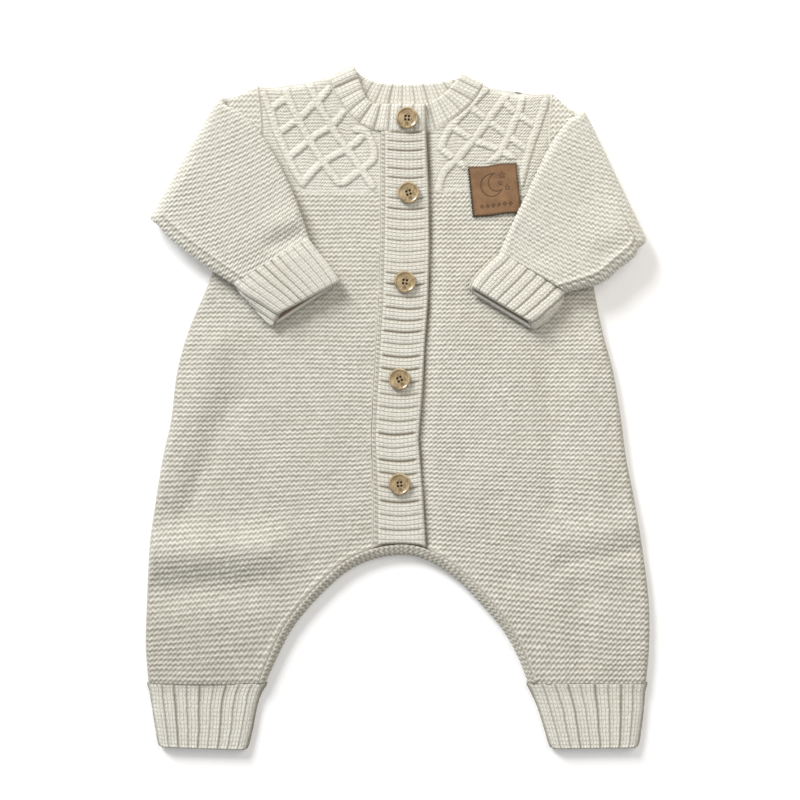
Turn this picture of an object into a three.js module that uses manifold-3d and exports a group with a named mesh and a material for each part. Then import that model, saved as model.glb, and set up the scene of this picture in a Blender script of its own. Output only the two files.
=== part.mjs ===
// Baby romper in chunky knit, laid flat on its back with both sleeves folded over the front.
// Millimetres, +Z up, neck towards +Y. Left and right are the viewer's, looking down on the front.
import * as THREE from 'three';
import { mergeVertices } from 'three/addons/utils/BufferGeometryUtils.js';
import Module from 'manifold-3d';

const wasm = await Module();
wasm.setup();

// Cloth, common to all pieces
const WALL = 2.6;
const SEAM = 0.3;
const CURVED_SEAM = 0.55;
const NECK_SEAM = { front: 0.8, back: 1.3 };
const HALF_HEIGHT = 3.8;
const ROLL = 5;
const ROLL_STEPS = [0, 0.8, 2.5, ROLL];
const INNER_ROLL_STEPS = [WALL, 3.4, ROLL];
const CENTRE_X = 2;
const OUTLINE_STEPS = 160;

// Body outline, one row for each place along the edge
const SHOULDER = {
  left: [{ x: -51.3, y: 242.6 }, { x: -57, y: 241 }, { x: -65.5, y: 238 }, { x: -74, y: 236 },
    { x: -86, y: 234.5 }, { x: -94, y: 234.8 }, { x: -102, y: 236 }],
  right: [{ x: 64, y: 236.8 }, { x: 69.5, y: 233 }, { x: 77, y: 230.5 }, { x: 87, y: 228 },
    { x: 94, y: 229.2 }, { x: 104, y: 230.2 }, { x: 113.5, y: 230.5 }],
};
const ARMHOLE = {
  left: [{ x: -102, y: 236 }, { x: -99, y: 203 }, { x: -102.5, y: 170 }, { x: -113.5, y: 142.5 },
    { x: -128, y: 120.5 }],
  right: [{ x: 113.5, y: 230.5 }, { x: 111.5, y: 203 }, { x: 114, y: 170 }, { x: 124.5, y: 141 },
    { x: 139, y: 114 }],
};
const SIDE = {
  left: [{ x: -128, y: 120.5 }, { x: -139, y: 90 }, { x: -153, y: 57 }, { x: -161.5, y: 26.5 },
    { x: -166, y: -9 }, { x: -172, y: -36.5 }, { x: -177, y: -67 }, { x: -181.5, y: -100 },
    { x: -183.5, y: -140 }, { x: -184.5, y: -173 }, { x: -182.5, y: -201.5 }],
  right: [{ x: 139, y: 114 }, { x: 143.5, y: 90 }, { x: 150, y: 57 }, { x: 158, y: 26.5 },
    { x: 164, y: -9 }, { x: 167.5, y: -36.5 }, { x: 173.5, y: -67 }, { x: 179, y: -100 },
    { x: 184, y: -140 }, { x: 184.5, y: -173 }, { x: 182, y: -201.5 }],
};
const ARCH = [{ x: -96.5, y: -201.5 }, { x: -88.5, y: -184 }, { x: -77, y: -162 }, { x: -59, y: -140 },
  { x: -37.5, y: -120.5 }, { x: -18.5, y: -111.3 }, { x: CENTRE_X, y: -108 }, { x: 19.5, y: -111 },
  { x: 40, y: -123 }, { x: 59, y: -141.5 }, { x: 76.5, y: -162 }, { x: 88, y: -182.5 },
  { x: 95.5, y: -201.5 }];
const ARCH_SEAM_DEPTH = { crotch: 8.3, ankle: 5.6 };
const LEG_ROWS = 8;

// Rows of a panel: the yoke holds the cables, so it is finer than what lies below
const YOKE_END_Y = 156;
const UNDERARM_Y = 116;
const CROTCH_SIDE_Y = -118;
const PANEL_ROWS = { yoke: 20, underarm: 3, torso: 11 };
const YOKE_COLUMNS = 20;
const PLAIN_COLUMNS = 6;
const LINING_ROWS = { yoke: 8, underarm: 3, torso: 6 };
const LINING_COLUMNS = 5;
const BACK_ROWS = { neck: 7, armhole: 6, torso: 8 };
const BACK_COLUMNS = 6;
const BACK_LINING_ROWS = { neck: 7, armhole: 4, torso: 5 };
const BACK_LINING_COLUMNS = 4;
const BACK_ARMHOLE_SHARE = 0.3;
const OPENING_STEPS = { left: [0], right: [0, 6, 9.5, 13.5, 18] };

// Front opening: the band with buttonholes lies over the band that the buttons are sewn to
const OVERLAP = { bottom: 5.7, top: 8.3 };
const UNDERLAP = { bottom: 3.1, top: 5.3 };
const UNDERLAP_INSET = 5;
const UNDERLAP_SLOPE = 12;
const PLACKET_LEFT = [{ x: -12, y: 201.4 }, { x: -12, y: 155 }, { x: -12.5, y: 115 }, { x: -13.5, y: 79 },
  { x: -15.5, y: 46 }, { x: -17.5, y: 13 }, { x: -19, y: -23 }, { x: -17.5, y: -60 }, { x: -17, y: -102 }];
const PLACKET_RIGHT = [{ x: 21, y: 201.4 }, { x: 23, y: 155 }, { x: 23.5, y: 115 }, { x: 22.5, y: 79 },
  { x: 20, y: 46 }, { x: 18.5, y: 13 }, { x: 15.5, y: -23 }, { x: 18.5, y: -60 }, { x: 21, y: -102 }];
const PLACKET_TOP_Y = 201.2;
const PLACKET_END_Y = -99.1;
const PLACKET_BOW = { depth: 3, halfWidth: 19, reach: 14 };
const SELVEDGE = 3.6;
const BAND_ROWS = 14;
const BUTTON_BAND_INSET = { left: 3, right: 6 };

// Height of every fifth groove between the placket's ribs, which are wider lower down
const PLACKET_GROOVES = [201.2, 168.3, 130.7, 90.2, 47, 0.3, -47.9, -99.1];
const GROOVE_STEP = 5;
const PLACKET_RIBS = 35;

// Ribbing
const RIB = 0.95;
const GATHERED_RIB = 0.3;
const NECK_INSIDE_RIB = 0.5;
const RIB_SHOULDER = 1;
const RIB_PHASES = [0, 0.25, 0.75];

// Soft folds of the front, as ridges between two ends
const FOLDS = [
  { x1: -134, y1: 44, x2: -168, y2: -56, width: 16, height: 2.4 },
  { x1: -115, y1: 17, x2: -159, y2: -82, width: 9, height: -1.6 },
  { x1: -184, y1: -112, x2: -98, y2: -112, width: 13, height: 3 },
  { x1: 138, y1: 40, x2: 150, y2: -110, width: 18, height: 2.6 },
  { x1: 109, y1: 40, x2: 116, y2: -72, width: 9, height: -1.6 },
  { x1: 118, y1: -96, x2: 178, y2: -84, width: 10, height: 1.8 },
  { x1: -60, y1: 60, x2: -52, y2: -40, width: 16, height: 1 },
];

// Cables of the yoke: each strand is a raised rope along these places
const CABLE = { halfWidth: 3.4, height: 1.7 };
const CABLES = {
  left: [
    [{ x: -97.5, y: 229 }, { x: -91.5, y: 214 }, { x: -87, y: 199.5 }, { x: -76.5, y: 176 }, { x: -69, y: 163.5 }],
    [{ x: -81.5, y: 233 }, { x: -77.5, y: 221 }, { x: -65.5, y: 197 }, { x: -50, y: 173.5 }, { x: -42.5, y: 164 }],
    [{ x: -64.5, y: 237 }, { x: -54.5, y: 215.5 }, { x: -37.5, y: 190 }, { x: -18, y: 162 }],
    [{ x: -30.5, y: 203.5 }, { x: -22.5, y: 201 }, { x: -17, y: 184 }, { x: -22.5, y: 176.5 }, { x: -39, y: 164 }],
    [{ x: -83, y: 225.5 }, { x: -91.5, y: 219.5 }],
    [{ x: -60, y: 224 }, { x: -71, y: 213 }, { x: -86.5, y: 201 }],
    [{ x: -50.5, y: 233.5 }, { x: -59, y: 224 }],
    [{ x: -40, y: 216 }, { x: -48.5, y: 206.5 }, { x: -64.5, y: 195.5 }, { x: -80, y: 182.5 }],
    [{ x: -26, y: 198.5 }, { x: -37.5, y: 189 }, { x: -56, y: 178 }, { x: -69, y: 164 }],
  ],
  right: [
    [{ x: 108, y: 224 }, { x: 102, y: 204.5 }, { x: 94, y: 179.5 }, { x: 90, y: 163.5 }],
    [{ x: 91, y: 226 }, { x: 88.5, y: 216 }, { x: 76.5, y: 188.5 }, { x: 66, y: 178 }],
    [{ x: 79, y: 228 }, { x: 63, y: 205 }, { x: 42, y: 180.5 }, { x: 33, y: 171 }, { x: 29.5, y: 158.5 }],
    [{ x: 64, y: 232 }, { x: 56, y: 223.5 }, { x: 37.5, y: 203.5 }, { x: 31.5, y: 190 }],
    [{ x: 77, y: 225.5 }, { x: 88, y: 214.5 }, { x: 102.5, y: 205 }],
    [{ x: 55.5, y: 219 }, { x: 67, y: 209.5 }, { x: 96.5, y: 187 }],
    [{ x: 40, y: 206 }, { x: 56, y: 195.5 }, { x: 76.5, y: 187.5 }, { x: 92.5, y: 175 }],
    [{ x: 31, y: 190 }, { x: 42.5, y: 181 }, { x: 53, y: 173.5 }],
  ],
};

// Neckband: the free edge and the sewn edge, station by station from the overlapping end
const NECK_FOLD_RADIUS = 2.5;
const NECK_RIB_PITCH = 8.8;
const NECK_FRONT_LEFT = [
  { freeX: 20.5, freeY: 222.5, sewnX: 21, sewnY: 201.8 }, { freeX: 4.5, freeY: 222.5, sewnX: 4.5, sewnY: 201.6 },
  { freeX: -7, freeY: 222.5, sewnX: -10, sewnY: 201.8 }, { freeX: -13.5, freeY: 222.5, sewnX: -19.5, sewnY: 203.5 },
  { freeX: -18, freeY: 223, sewnX: -28, sewnY: 208.5 }, { freeX: -22, freeY: 226.5, sewnX: -34.5, sewnY: 214.5 },
  { freeX: -24.5, freeY: 231.5, sewnX: -40.5, sewnY: 222.5 }, { freeX: -27, freeY: 238, sewnX: -45.5, sewnY: 230.5 },
];
const NECK_SHOULDER = {
  left: { freeX: -30.4, freeY: 247.5, sewnX: -48.9, sewnY: 239.3 },
  right: { freeX: 45.3, freeY: 242.6, sewnX: 61.4, sewnY: 233.9 },
};
const NECK_BACK = [
  { freeX: -25, freeY: 243, sewnX: -39, sewnY: 230.5 }, { freeX: -15, freeY: 239, sewnX: -25, sewnY: 221.8 },
  { freeX: 4.5, freeY: 237.5, sewnX: 4.5, sewnY: 217.5 }, { freeX: 26, freeY: 238.5, sewnX: 34, sewnY: 220.5 },
  { freeX: 38, freeY: 240.3, sewnX: 51, sewnY: 227.5 },
];
const NECK_FRONT_RIGHT = [
  { freeX: 40, freeY: 236.5, sewnX: 58.5, sewnY: 228.5, sunk: 0 }, { freeX: 36, freeY: 232, sewnX: 52, sewnY: 220.5, sunk: 0 },
  { freeX: 31.5, freeY: 228.5, sewnX: 44, sewnY: 213.5, sunk: 0 }, { freeX: 27, freeY: 225.8, sewnX: 34.5, sewnY: 207.3, sunk: 0.45 },
  { freeX: 22, freeY: 223.6, sewnX: 27, sewnY: 203.8, sunk: 1 }, { freeX: 14, freeY: 222.5, sewnX: 17.5, sewnY: 201.9, sunk: 1 },
  { freeX: -1, freeY: 222.3, sewnX: -1, sewnY: 201.7, sunk: 1 },
];

// Sleeves: a flat tube out from the armhole, folded back over the front
const SLEEVE_BEND_RADIUS = 5;
const SLEEVE_RINGS = { lower: 3, bend: 7, upper: 7 };
const SLEEVE_COLUMNS = 5;
const SLEEVE_LINING_COLUMNS = 4;
const SLEEVE = {
  left: {
    foldTop: { x: -131, y: 228.5 }, foldLow: { x: -182, y: 138.5 }, skewTop: 8, skewLow: 2,
    upper: [{ x: -113, y: 214.5 }, { x: -99, y: 199.5 }, { x: -84.5, y: 175 }, { x: -72.5, y: 148 }, { x: -64.5, y: 123.7 }],
    lower: [{ x: -168, y: 125.5 }, { x: -155, y: 114.5 }, { x: -136, y: 100.5 }, { x: -119.4, y: 89.8 }],
  },
  right: {
    foldTop: { x: 135.5, y: 219.5 }, foldLow: { x: 183, y: 121 }, skewTop: 8, skewLow: 2,
    upper: [{ x: 124, y: 209.5 }, { x: 110.5, y: 190.5 }, { x: 98, y: 165 }, { x: 86.5, y: 141 }, { x: 74, y: 113.5 }],
    lower: [{ x: 172, y: 109.5 }, { x: 161, y: 100.5 }, { x: 148, y: 90.5 }, { x: 122.5, y: 84 }],
  },
};

// Cuffs: lines across the tube from the seam to the hem, for the upper and the lower layer
const SLEEVE_CUFF = {
  left: {
    ribs: 10,
    top: [{ ax: -64.5, ay: 123.4, bx: -119, by: 89.5 }, { ax: -60, ay: 115, bx: -111, by: 81.5 },
      { ax: -51, ay: 105, bx: -98.5, by: 75.5 }, { ax: -41.5, ay: 91.5, bx: -87.5, by: 67.5 }],
    under: [{ ax: -64.5, ay: 123.4, bx: -119, by: 89.5 }, { ax: -60, ay: 115, bx: -112, by: 80 },
      { ax: -51, ay: 105, bx: -102, by: 68.5 }, { ax: -41.5, ay: 91, bx: -92, by: 58.5 }],
  },
  right: {
    ribs: 7,
    top: [{ ax: 73.8, ay: 113.2, bx: 122.2, by: 83.7 }, { ax: 66.5, ay: 107, bx: 117.5, by: 75 },
      { ax: 58, ay: 98, bx: 108, by: 67 }, { ax: 52, ay: 88.5, bx: 97.5, by: 61.5 }],
    under: [{ ax: 73.8, ay: 113.2, bx: 122.2, by: 83.7 }, { ax: 66.5, ay: 107, bx: 119, by: 73 },
      { ax: 58, ay: 97, bx: 110, by: 63.5 }, { ax: 50.8, ay: 85.5, bx: 99.5, by: 56 }],
  },
};
const LEG_CUFF = {
  left: {
    ribs: 9,
    top: [{ ax: -96.5, ay: -201.8, bx: -182.5, by: -201.8 }, { ax: -100.5, ay: -208, bx: -181, by: -208 },
      { ax: -103.5, ay: -218, bx: -179.5, by: -218 }, { ax: -106.5, ay: -234, bx: -177.2, by: -233 },
      { ax: -110.5, ay: -250.7, bx: -174.5, by: -248.5 }],
  },
  right: {
    ribs: 9,
    top: [{ ax: 95.5, ay: -201.8, bx: 182, by: -201.8 }, { ax: 98.5, ay: -208, bx: 180.7, by: -208 },
      { ax: 103, ay: -218, bx: 180.2, by: -218 }, { ax: 108, ay: -234, bx: 178.5, by: -233 },
      { ax: 112.5, ay: -249.8, bx: 176, by: -249 }],
  },
};
const CUFF_COLUMNS = { under: 3, lining: 5 };

// Buttons and patch
const BUTTON = { radius: 8, thickness: 3, rim: 1.5, rimDrop: 0.7, hole: 0.95, holeSpread: 1.7, sides: 18 };
const BUTTON_PLACES = [{ x: 7, y: 211.5 }, { x: 8, y: 157 }, { x: 5.5, y: 92 }, { x: 1.5, y: 21 }, { x: 1.5, y: -55.5 }];
const PATCH = { x: 71, y: 159.3, width: 35.5, height: 36.5, corner: 4, thickness: 1.1, bevel: 0.2, turn: 6, clear: 5.5 };

const COLOUR = { knit: '#e4dfd1', rib: '#e7e2d4', leather: '#96623e', button: '#bea573' };

// Plane lines

function smoothLine(table) {
  const curve = new THREE.SplineCurve(table.map(({ x, y }) => new THREE.Vector2(x, y)));
  return curve.getSpacedPoints(OUTLINE_STEPS);
}

function measured(points) {
  const reach = [0];
  for (let i = 1; i < points.length; i += 1) reach.push(reach[i - 1] + points[i].distanceTo(points[i - 1]));
  return { points, reach, length: reach[reach.length - 1] };
}

function along(line, distance) {
  const { points, reach, length } = line;
  const goal = Math.min(Math.max(distance, 0), length);
  let i = 1;
  while (i < reach.length - 1 && reach[i] < goal) i += 1;
  const share = (goal - reach[i - 1]) / (reach[i] - reach[i - 1]);
  return points[i - 1].clone().lerp(points[i], share);
}

function distanceAtY(line, y) {
  const i = line.points.findIndex((p) => p.y <= y);
  return i < 0 ? line.length : line.reach[i];
}

function trimmed(points, start, end) {
  const line = measured(points);
  const steps = points.length - 1;
  return points.map((_, i) => along(line, start + ((line.length - start - end) * i) / steps));
}

function shifted(points, distance) {
  return points.map((p, i) => {
    const before = points[Math.max(i - 1, 0)];
    const after = points[Math.min(i + 1, points.length - 1)];
    const run = after.clone().sub(before).normalize();
    return new THREE.Vector2(p.x - run.y * distance, p.y + run.x * distance);
  });
}

function distanceTo(points, x, y) {
  let best = Infinity;
  for (let i = 1; i < points.length; i += 1) {
    const a = points[i - 1];
    const b = points[i];
    const dx = b.x - a.x;
    const dy = b.y - a.y;
    const t = Math.min(Math.max(((x - a.x) * dx + (y - a.y) * dy) / (dx * dx + dy * dy), 0), 1);
    best = Math.min(best, Math.hypot(x - a.x - t * dx, y - a.y - t * dy));
  }
  return best;
}

function xAtY(table, y) {
  let i = 1;
  while (i < table.length - 1 && table[i].y > y) i += 1;
  const a = table[i - 1];
  const b = table[i];
  const share = Math.min(Math.max((a.y - y) / (a.y - b.y), 0), 1);
  return a.x + (b.x - a.x) * share;
}

const mix = (a, b, share) => a + (b - a) * share;
const bulge = (share) => Math.sqrt(1 - (1 - Math.min(Math.max(share, 0), 1)) ** 2);
const outerBulge = (distance) => bulge(distance / ROLL);
const innerBulge = (distance) => bulge((distance - WALL) / (ROLL - WALL));

// Closed solids made of rows of points that are stitched row to row

class Solid {
  constructor() {
    this.points = [];
    this.faces = [];
  }

  row(points, shared) {
    const spans = points.map((p, i) => (i === 0 ? 0 : p.distanceTo(points[i - 1])));
    const total = spans.reduce((sum, span) => sum + span, 0);
    let reach = 0;
    return points.map((p, i) => {
      reach += spans[i];
      if (i === 0 && shared !== undefined) return { index: shared, share: 0 };
      this.points.push(p);
      return { index: this.points.length - 1, share: reach / total };
    });
  }

  ring(points) {
    const row = this.row([...points, points[0]]);
    this.points.pop();
    row[row.length - 1].index = row[0].index;
    return row;
  }

  chain(entries) {
    let reach = 0;
    const distances = entries.map(({ index }, i) => {
      if (i > 0) reach += this.points[index].distanceTo(this.points[entries[i - 1].index]);
      return reach;
    });
    return entries.map(({ index }, i) => ({ index, share: distances[i] / reach }));
  }

  face(a, b, c) {
    if (a !== b && b !== c && a !== c) this.faces.push([a, b, c]);
  }

  stitch(first, second) {
    let i = 0;
    let j = 0;
    while (i < first.length - 1 || j < second.length - 1) {
      const nextFirst = i < first.length - 1 ? first[i + 1].share + first[i].share : Infinity;
      const nextSecond = j < second.length - 1 ? second[j + 1].share + second[j].share : Infinity;
      if (nextFirst <= nextSecond) {
        this.face(first[i].index, first[i + 1].index, second[j].index);
        i += 1;
      } else {
        this.face(first[i].index, second[j + 1].index, second[j].index);
        j += 1;
      }
    }
  }

  stitchAll(rows) {
    for (let i = 1; i < rows.length; i += 1) this.stitch(rows[i - 1], rows[i]);
  }

  fan(row) {
    for (let i = 1; i < row.length - 2; i += 1) this.face(row[0].index, row[i].index, row[i + 1].index);
  }

  turnFacesAlike() {
    const users = new Map();
    const key = (a, b) => (a < b ? `${a}_${b}` : `${b}_${a}`);
    this.faces.forEach((face, f) => {
      face.forEach((a, i) => {
        const edge = key(a, face[(i + 1) % 3]);
        users.set(edge, [...(users.get(edge) ?? []), f]);
      });
    });
    const runs = (face, a, b) => face.some((p, i) => p === a && face[(i + 1) % 3] === b);
    const seen = new Set([0]);
    const queue = [0];
    while (queue.length > 0) {
      const face = this.faces[queue.pop()];
      face.slice().forEach((a, i) => {
        const b = face[(i + 1) % 3];
        users.get(key(a, b)).filter((f) => !seen.has(f)).forEach((f) => {
          if (runs(this.faces[f], a, b)) this.faces[f].reverse();
          seen.add(f);
          queue.push(f);
        });
      });
    }
  }

  volume() {
    return this.faces.reduce((sum, [a, b, c]) => {
      const cross = this.points[b].clone().cross(this.points[c]);
      return sum + this.points[a].dot(cross) / 6;
    }, 0);
  }

  geometry() {
    this.turnFacesAlike();
    if (this.volume() < 0) this.faces.forEach((face) => face.reverse());
    const geometry = new THREE.BufferGeometry();
    geometry.setAttribute('position', new THREE.Float32BufferAttribute(this.points.flatMap((p) => p.toArray()), 3));
    geometry.setIndex(this.faces.flat());
    geometry.computeVertexNormals();
    return geometry;
  }
}

function sheetSolid(outerRows, liningRows) {
  const solid = new Solid();
  const outer = outerRows.map((points) => solid.row(points));
  const lining = liningRows.map((points) => solid.row(points));
  solid.stitchAll(outer);
  solid.stitchAll(lining);
  solid.stitch(outer[0], lining[0]);
  solid.stitch(outer[outer.length - 1], lining[lining.length - 1]);
  const firsts = (rows) => solid.chain(rows.map((row) => row[0]));
  const lasts = (rows) => solid.chain(rows.map((row) => row[row.length - 1]));
  solid.stitch(firsts(outer), firsts(lining));
  solid.stitch(lasts(outer), lasts(lining));
  return solid.geometry();
}

function tubeSolid(outerRings, liningRings) {
  const solid = new Solid();
  const outer = outerRings.map((points) => solid.ring(points));
  const lining = liningRings.map((points) => solid.ring(points));
  solid.stitchAll(outer);
  solid.stitchAll(lining);
  solid.stitch(outer[0], lining[0]);
  solid.stitch(outer[outer.length - 1], lining[lining.length - 1]);
  return solid.geometry();
}

function sweptSolid(sections) {
  const solid = new Solid();
  const rings = sections.map((points) => solid.ring(points));
  solid.stitchAll(rings);
  solid.fan(rings[0]);
  solid.fan(rings[rings.length - 1]);
  return solid.geometry();
}

// Outlines shared by the panels

const shoulderLine = { left: smoothLine(SHOULDER.left), right: smoothLine(SHOULDER.right) };
const armholeLine = { left: smoothLine(ARMHOLE.left), right: smoothLine(ARMHOLE.right) };
const sideLine = { left: smoothLine(SIDE.left), right: smoothLine(SIDE.right) };
const archLine = smoothLine(ARCH);
const inwards = { left: 1, right: -1 };

function archHalf(side) {
  const apex = archLine.reduce((best, p, i) => (p.y > archLine[best].y ? i : best), 0);
  return side === 'left' ? archLine.slice(0, apex + 1).reverse() : archLine.slice(apex);
}

function archStation(side, share) {
  const line = measured(archHalf(side));
  const point = along(line, line.length * share);
  const step = line.length / 100;
  const run = along(line, line.length * share + step).sub(along(line, line.length * share - step)).normalize();
  const into = share === 0 ? new THREE.Vector2(0, 1)
    : new THREE.Vector2(run.y, -run.x).multiplyScalar(inwards[side]);
  return { point, into };
}

function archOffset(side, share, distance) {
  const { point, into } = archStation(side, share);
  return point.clone().addScaledVector(into, distance);
}

function archSeamDepth(share) {
  return mix(ARCH_SEAM_DEPTH.crotch, ARCH_SEAM_DEPTH.ankle, share);
}

function outerEdge(side, inset) {
  const armhole = trimmed(armholeLine[side], inset, inset);
  const flank = shifted(sideLine[side], inwards[side] * inset);
  return { armhole: measured(armhole), flank: measured(flank) };
}

function edgeDistance(side, x, y) {
  return Math.min(distanceTo(shoulderLine[side], x, y), distanceTo(sideLine[side], x, y));
}

// Soft relief of the front

function foldHeight(x, y) {
  return FOLDS.reduce((height, { x1, y1, x2, y2, width, height: peak }) => {
    const run = (x2 - x1) ** 2 + (y2 - y1) ** 2;
    const share = ((x - x1) * (x2 - x1) + (y - y1) * (y2 - y1)) / run;
    const nearest = Math.min(Math.max(share, 0), 1);
    const away = Math.hypot(x - mix(x1, x2, nearest), y - mix(y1, y2, nearest)) / width;
    return height + peak * Math.exp(-(away ** 2));
  }, 0);
}

function cableHeight(side, x, y) {
  if (y < YOKE_END_Y) return 0;
  const underPatch = side === 'right'
    && Math.abs(x - PATCH.x) < PATCH.width / 2 + PATCH.clear && Math.abs(y - PATCH.y) < PATCH.height / 2 + PATCH.clear;
  if (underPatch) return 0;
  const near = Math.min(...CABLES[side].map((strand) => distanceTo(strand, x, y)));
  return CABLE.height * Math.max(0, 1 - (near / CABLE.halfWidth) ** 2);
}

function sunkShare(side, x, y) {
  if (side === 'left') return 0;
  const past = (x - xAtY(PLACKET_RIGHT, y) - 1) / UNDERLAP_SLOPE;
  const share = Math.min(Math.max(past, 0), 1);
  return 1 - share * share * (3 - 2 * share);
}

function frontOuterZ(side, x, y) {
  const low = HALF_HEIGHT + SEAM / 2;
  const rise = outerBulge(edgeDistance(side, x, y));
  const full = 2 * HALF_HEIGHT;
  const top = mix(full, UNDERLAP.top, sunkShare(side, x, y));
  return mix(low, top + foldHeight(x, y) + cableHeight(side, x, y) * rise, rise);
}

function frontLiningZ(side, x, y) {
  const low = HALF_HEIGHT + SEAM / 2;
  const rise = innerBulge(edgeDistance(side, x, y));
  const full = 2 * HALF_HEIGHT - WALL;
  const top = mix(full, UNDERLAP.bottom, sunkShare(side, x, y));
  return mix(low, top + foldHeight(x, y), rise);
}

function backOuterZ(side, x, y) {
  return (HALF_HEIGHT - SEAM / 2) * (1 - outerBulge(edgeDistance(side, x, y)));
}

function backLiningZ(side, x, y) {
  return mix(HALF_HEIGHT - SEAM / 2, WALL, innerBulge(edgeDistance(side, x, y)));
}

// Front panels

function neckSewnEdge(side) {
  const stations = side === 'left'
    ? [...NECK_FRONT_LEFT.slice(1), NECK_SHOULDER.left].reverse()
    : [NECK_SHOULDER.right, ...NECK_FRONT_RIGHT.slice(0, -1)];
  const edge = smoothLine(stations.map(({ sewnX, sewnY }) => ({ x: sewnX, y: sewnY })));
  return shifted(edge, side === 'left' ? -NECK_SEAM.front : NECK_SEAM.front);
}

function openingEdge(side) {
  const table = side === 'left' ? PLACKET_LEFT : PLACKET_RIGHT;
  const inset = side === 'left' ? -CURVED_SEAM : -UNDERLAP_INSET;
  return smoothLine(table.map(({ x, y }) => ({ x: x + inset, y })));
}

function frontInnerEdge(side, inset) {
  const opening = openingEdge(side);
  const corner = opening[0];
  const outside = (p) => (side === 'left' ? p.x < corner.x - 1 : p.x > corner.x + 1) && p.y > corner.y;
  const neck = trimmed([shoulderLine[side][0], ...neckSewnEdge(side).filter(outside), corner], inset, 0);
  const leg = Array.from({ length: LEG_ROWS }, (_, i) => {
    const share = (i + 1) / LEG_ROWS;
    return archOffset(side, share, archSeamDepth(share) + SEAM);
  });
  return { neck: measured(neck), opening: measured(opening), leg };
}

function rowEnds(side, inset, counts) {
  const inner = frontInnerEdge(side, inset);
  const outer = outerEdge(side, inset);
  const ends = [];
  const yokeInner = inner.neck.length + distanceAtY(inner.opening, YOKE_END_Y);
  const yokeOuter = distanceAtY(outer.armhole, YOKE_END_Y);
  for (let i = 0; i <= counts.yoke; i += 1) {
    const reach = (yokeInner * i) / counts.yoke;
    const a = reach < inner.neck.length ? along(inner.neck, reach) : along(inner.opening, reach - inner.neck.length);
    ends.push([a, along(outer.armhole, (yokeOuter * i) / counts.yoke)]);
  }
  const openStart = distanceAtY(inner.opening, YOKE_END_Y);
  const openUnderarm = distanceAtY(inner.opening, UNDERARM_Y);
  for (let i = 1; i <= counts.underarm; i += 1) {
    const share = i / counts.underarm;
    ends.push([along(inner.opening, mix(openStart, openUnderarm, share)),
      along(outer.armhole, mix(yokeOuter, outer.armhole.length, share))]);
  }
  const flankEnd = distanceAtY(outer.flank, CROTCH_SIDE_Y);
  for (let i = 1; i <= counts.torso; i += 1) {
    const share = i / counts.torso;
    ends.push([along(inner.opening, mix(openUnderarm, inner.opening.length, share)),
      along(outer.flank, flankEnd * share)]);
  }
  inner.leg.forEach((end, i) => {
    ends.push([end, along(outer.flank, mix(flankEnd, outer.flank.length, (i + 1) / LEG_ROWS))]);
  });
  return ends;
}

function rowShares(width, edgeSteps, columns, openingSteps) {
  const rolled = edgeSteps.map((step) => 1 - (step - edgeSteps[0]) / width);
  const beside = openingSteps.map((step) => step / width);
  const start = beside[beside.length - 1];
  const end = rolled[rolled.length - 1];
  const even = Array.from({ length: columns - 1 }, (_, i) => mix(start, end, (i + 1) / columns));
  return [...beside, ...even, ...rolled.reverse()];
}

function panelRow([inner, outer], edgeSteps, columns, height, openingSteps = [0]) {
  return rowShares(inner.distanceTo(outer), edgeSteps, columns, openingSteps).map((share) => {
    const p = inner.clone().lerp(outer, share);
    return new THREE.Vector3(p.x, p.y, height(p.x, p.y));
  });
}

function shoulderRows(side, ends, edgeSteps) {
  const [firstInner, firstOuter] = ends[0];
  const [nextInner, nextOuter] = ends[1];
  const gap = (firstInner.distanceTo(nextInner) + firstOuter.distanceTo(nextOuter)) / 2;
  const steps = edgeSteps.slice(1, -1).map((step) => (step - edgeSteps[0]) / gap).filter((share) => share < 0.8);
  return steps.map((share) => [firstInner.clone().lerp(nextInner, share), firstOuter.clone().lerp(nextOuter, share)]);
}

function panelRows(side, inset, counts, columnsOf, edgeSteps, height) {
  const ends = rowEnds(side, inset, counts);
  const all = [ends[0], ...shoulderRows(side, ends, edgeSteps), ...ends.slice(1)];
  const firstTorso = all.length - counts.underarm - counts.torso - LEG_ROWS;
  return all.map((pair, i) => panelRow(pair, edgeSteps, columnsOf(i < firstTorso), height, OPENING_STEPS[side]));
}

function frontPanel(side) {
  const outer = panelRows(side, 0, PANEL_ROWS, (yoke) => (yoke ? YOKE_COLUMNS : PLAIN_COLUMNS), ROLL_STEPS,
    (x, y) => frontOuterZ(side, x, y));
  const lining = panelRows(side, WALL, LINING_ROWS, () => LINING_COLUMNS, INNER_ROLL_STEPS,
    (x, y) => frontLiningZ(side, x, y));
  return sheetSolid(outer, lining);
}

// Back panel: one wall for both legs, which wraps round the edge of the arch between them

function backNeckEdge(side) {
  const stations = [NECK_SHOULDER.left, ...NECK_BACK, NECK_SHOULDER.right];
  const edge = shifted(smoothLine(stations.map(({ sewnX, sewnY }) => ({ x: sewnX, y: sewnY }))), -NECK_SEAM.back);
  const lowest = edge.reduce((best, p) => (Math.abs(p.x - CENTRE_X) < Math.abs(best.x - CENTRE_X) ? p : best));
  const middle = new THREE.Vector2(CENTRE_X, lowest.y);
  const corner = shoulderLine[side][0];
  const mine = edge.filter((p) => (side === 'left' ? p.x > corner.x + 3 && p.x < CENTRE_X - 1
    : p.x < corner.x - 3 && p.x > CENTRE_X + 1));
  return side === 'left' ? [corner, ...mine, middle] : [corner, ...mine.reverse(), middle];
}

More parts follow.
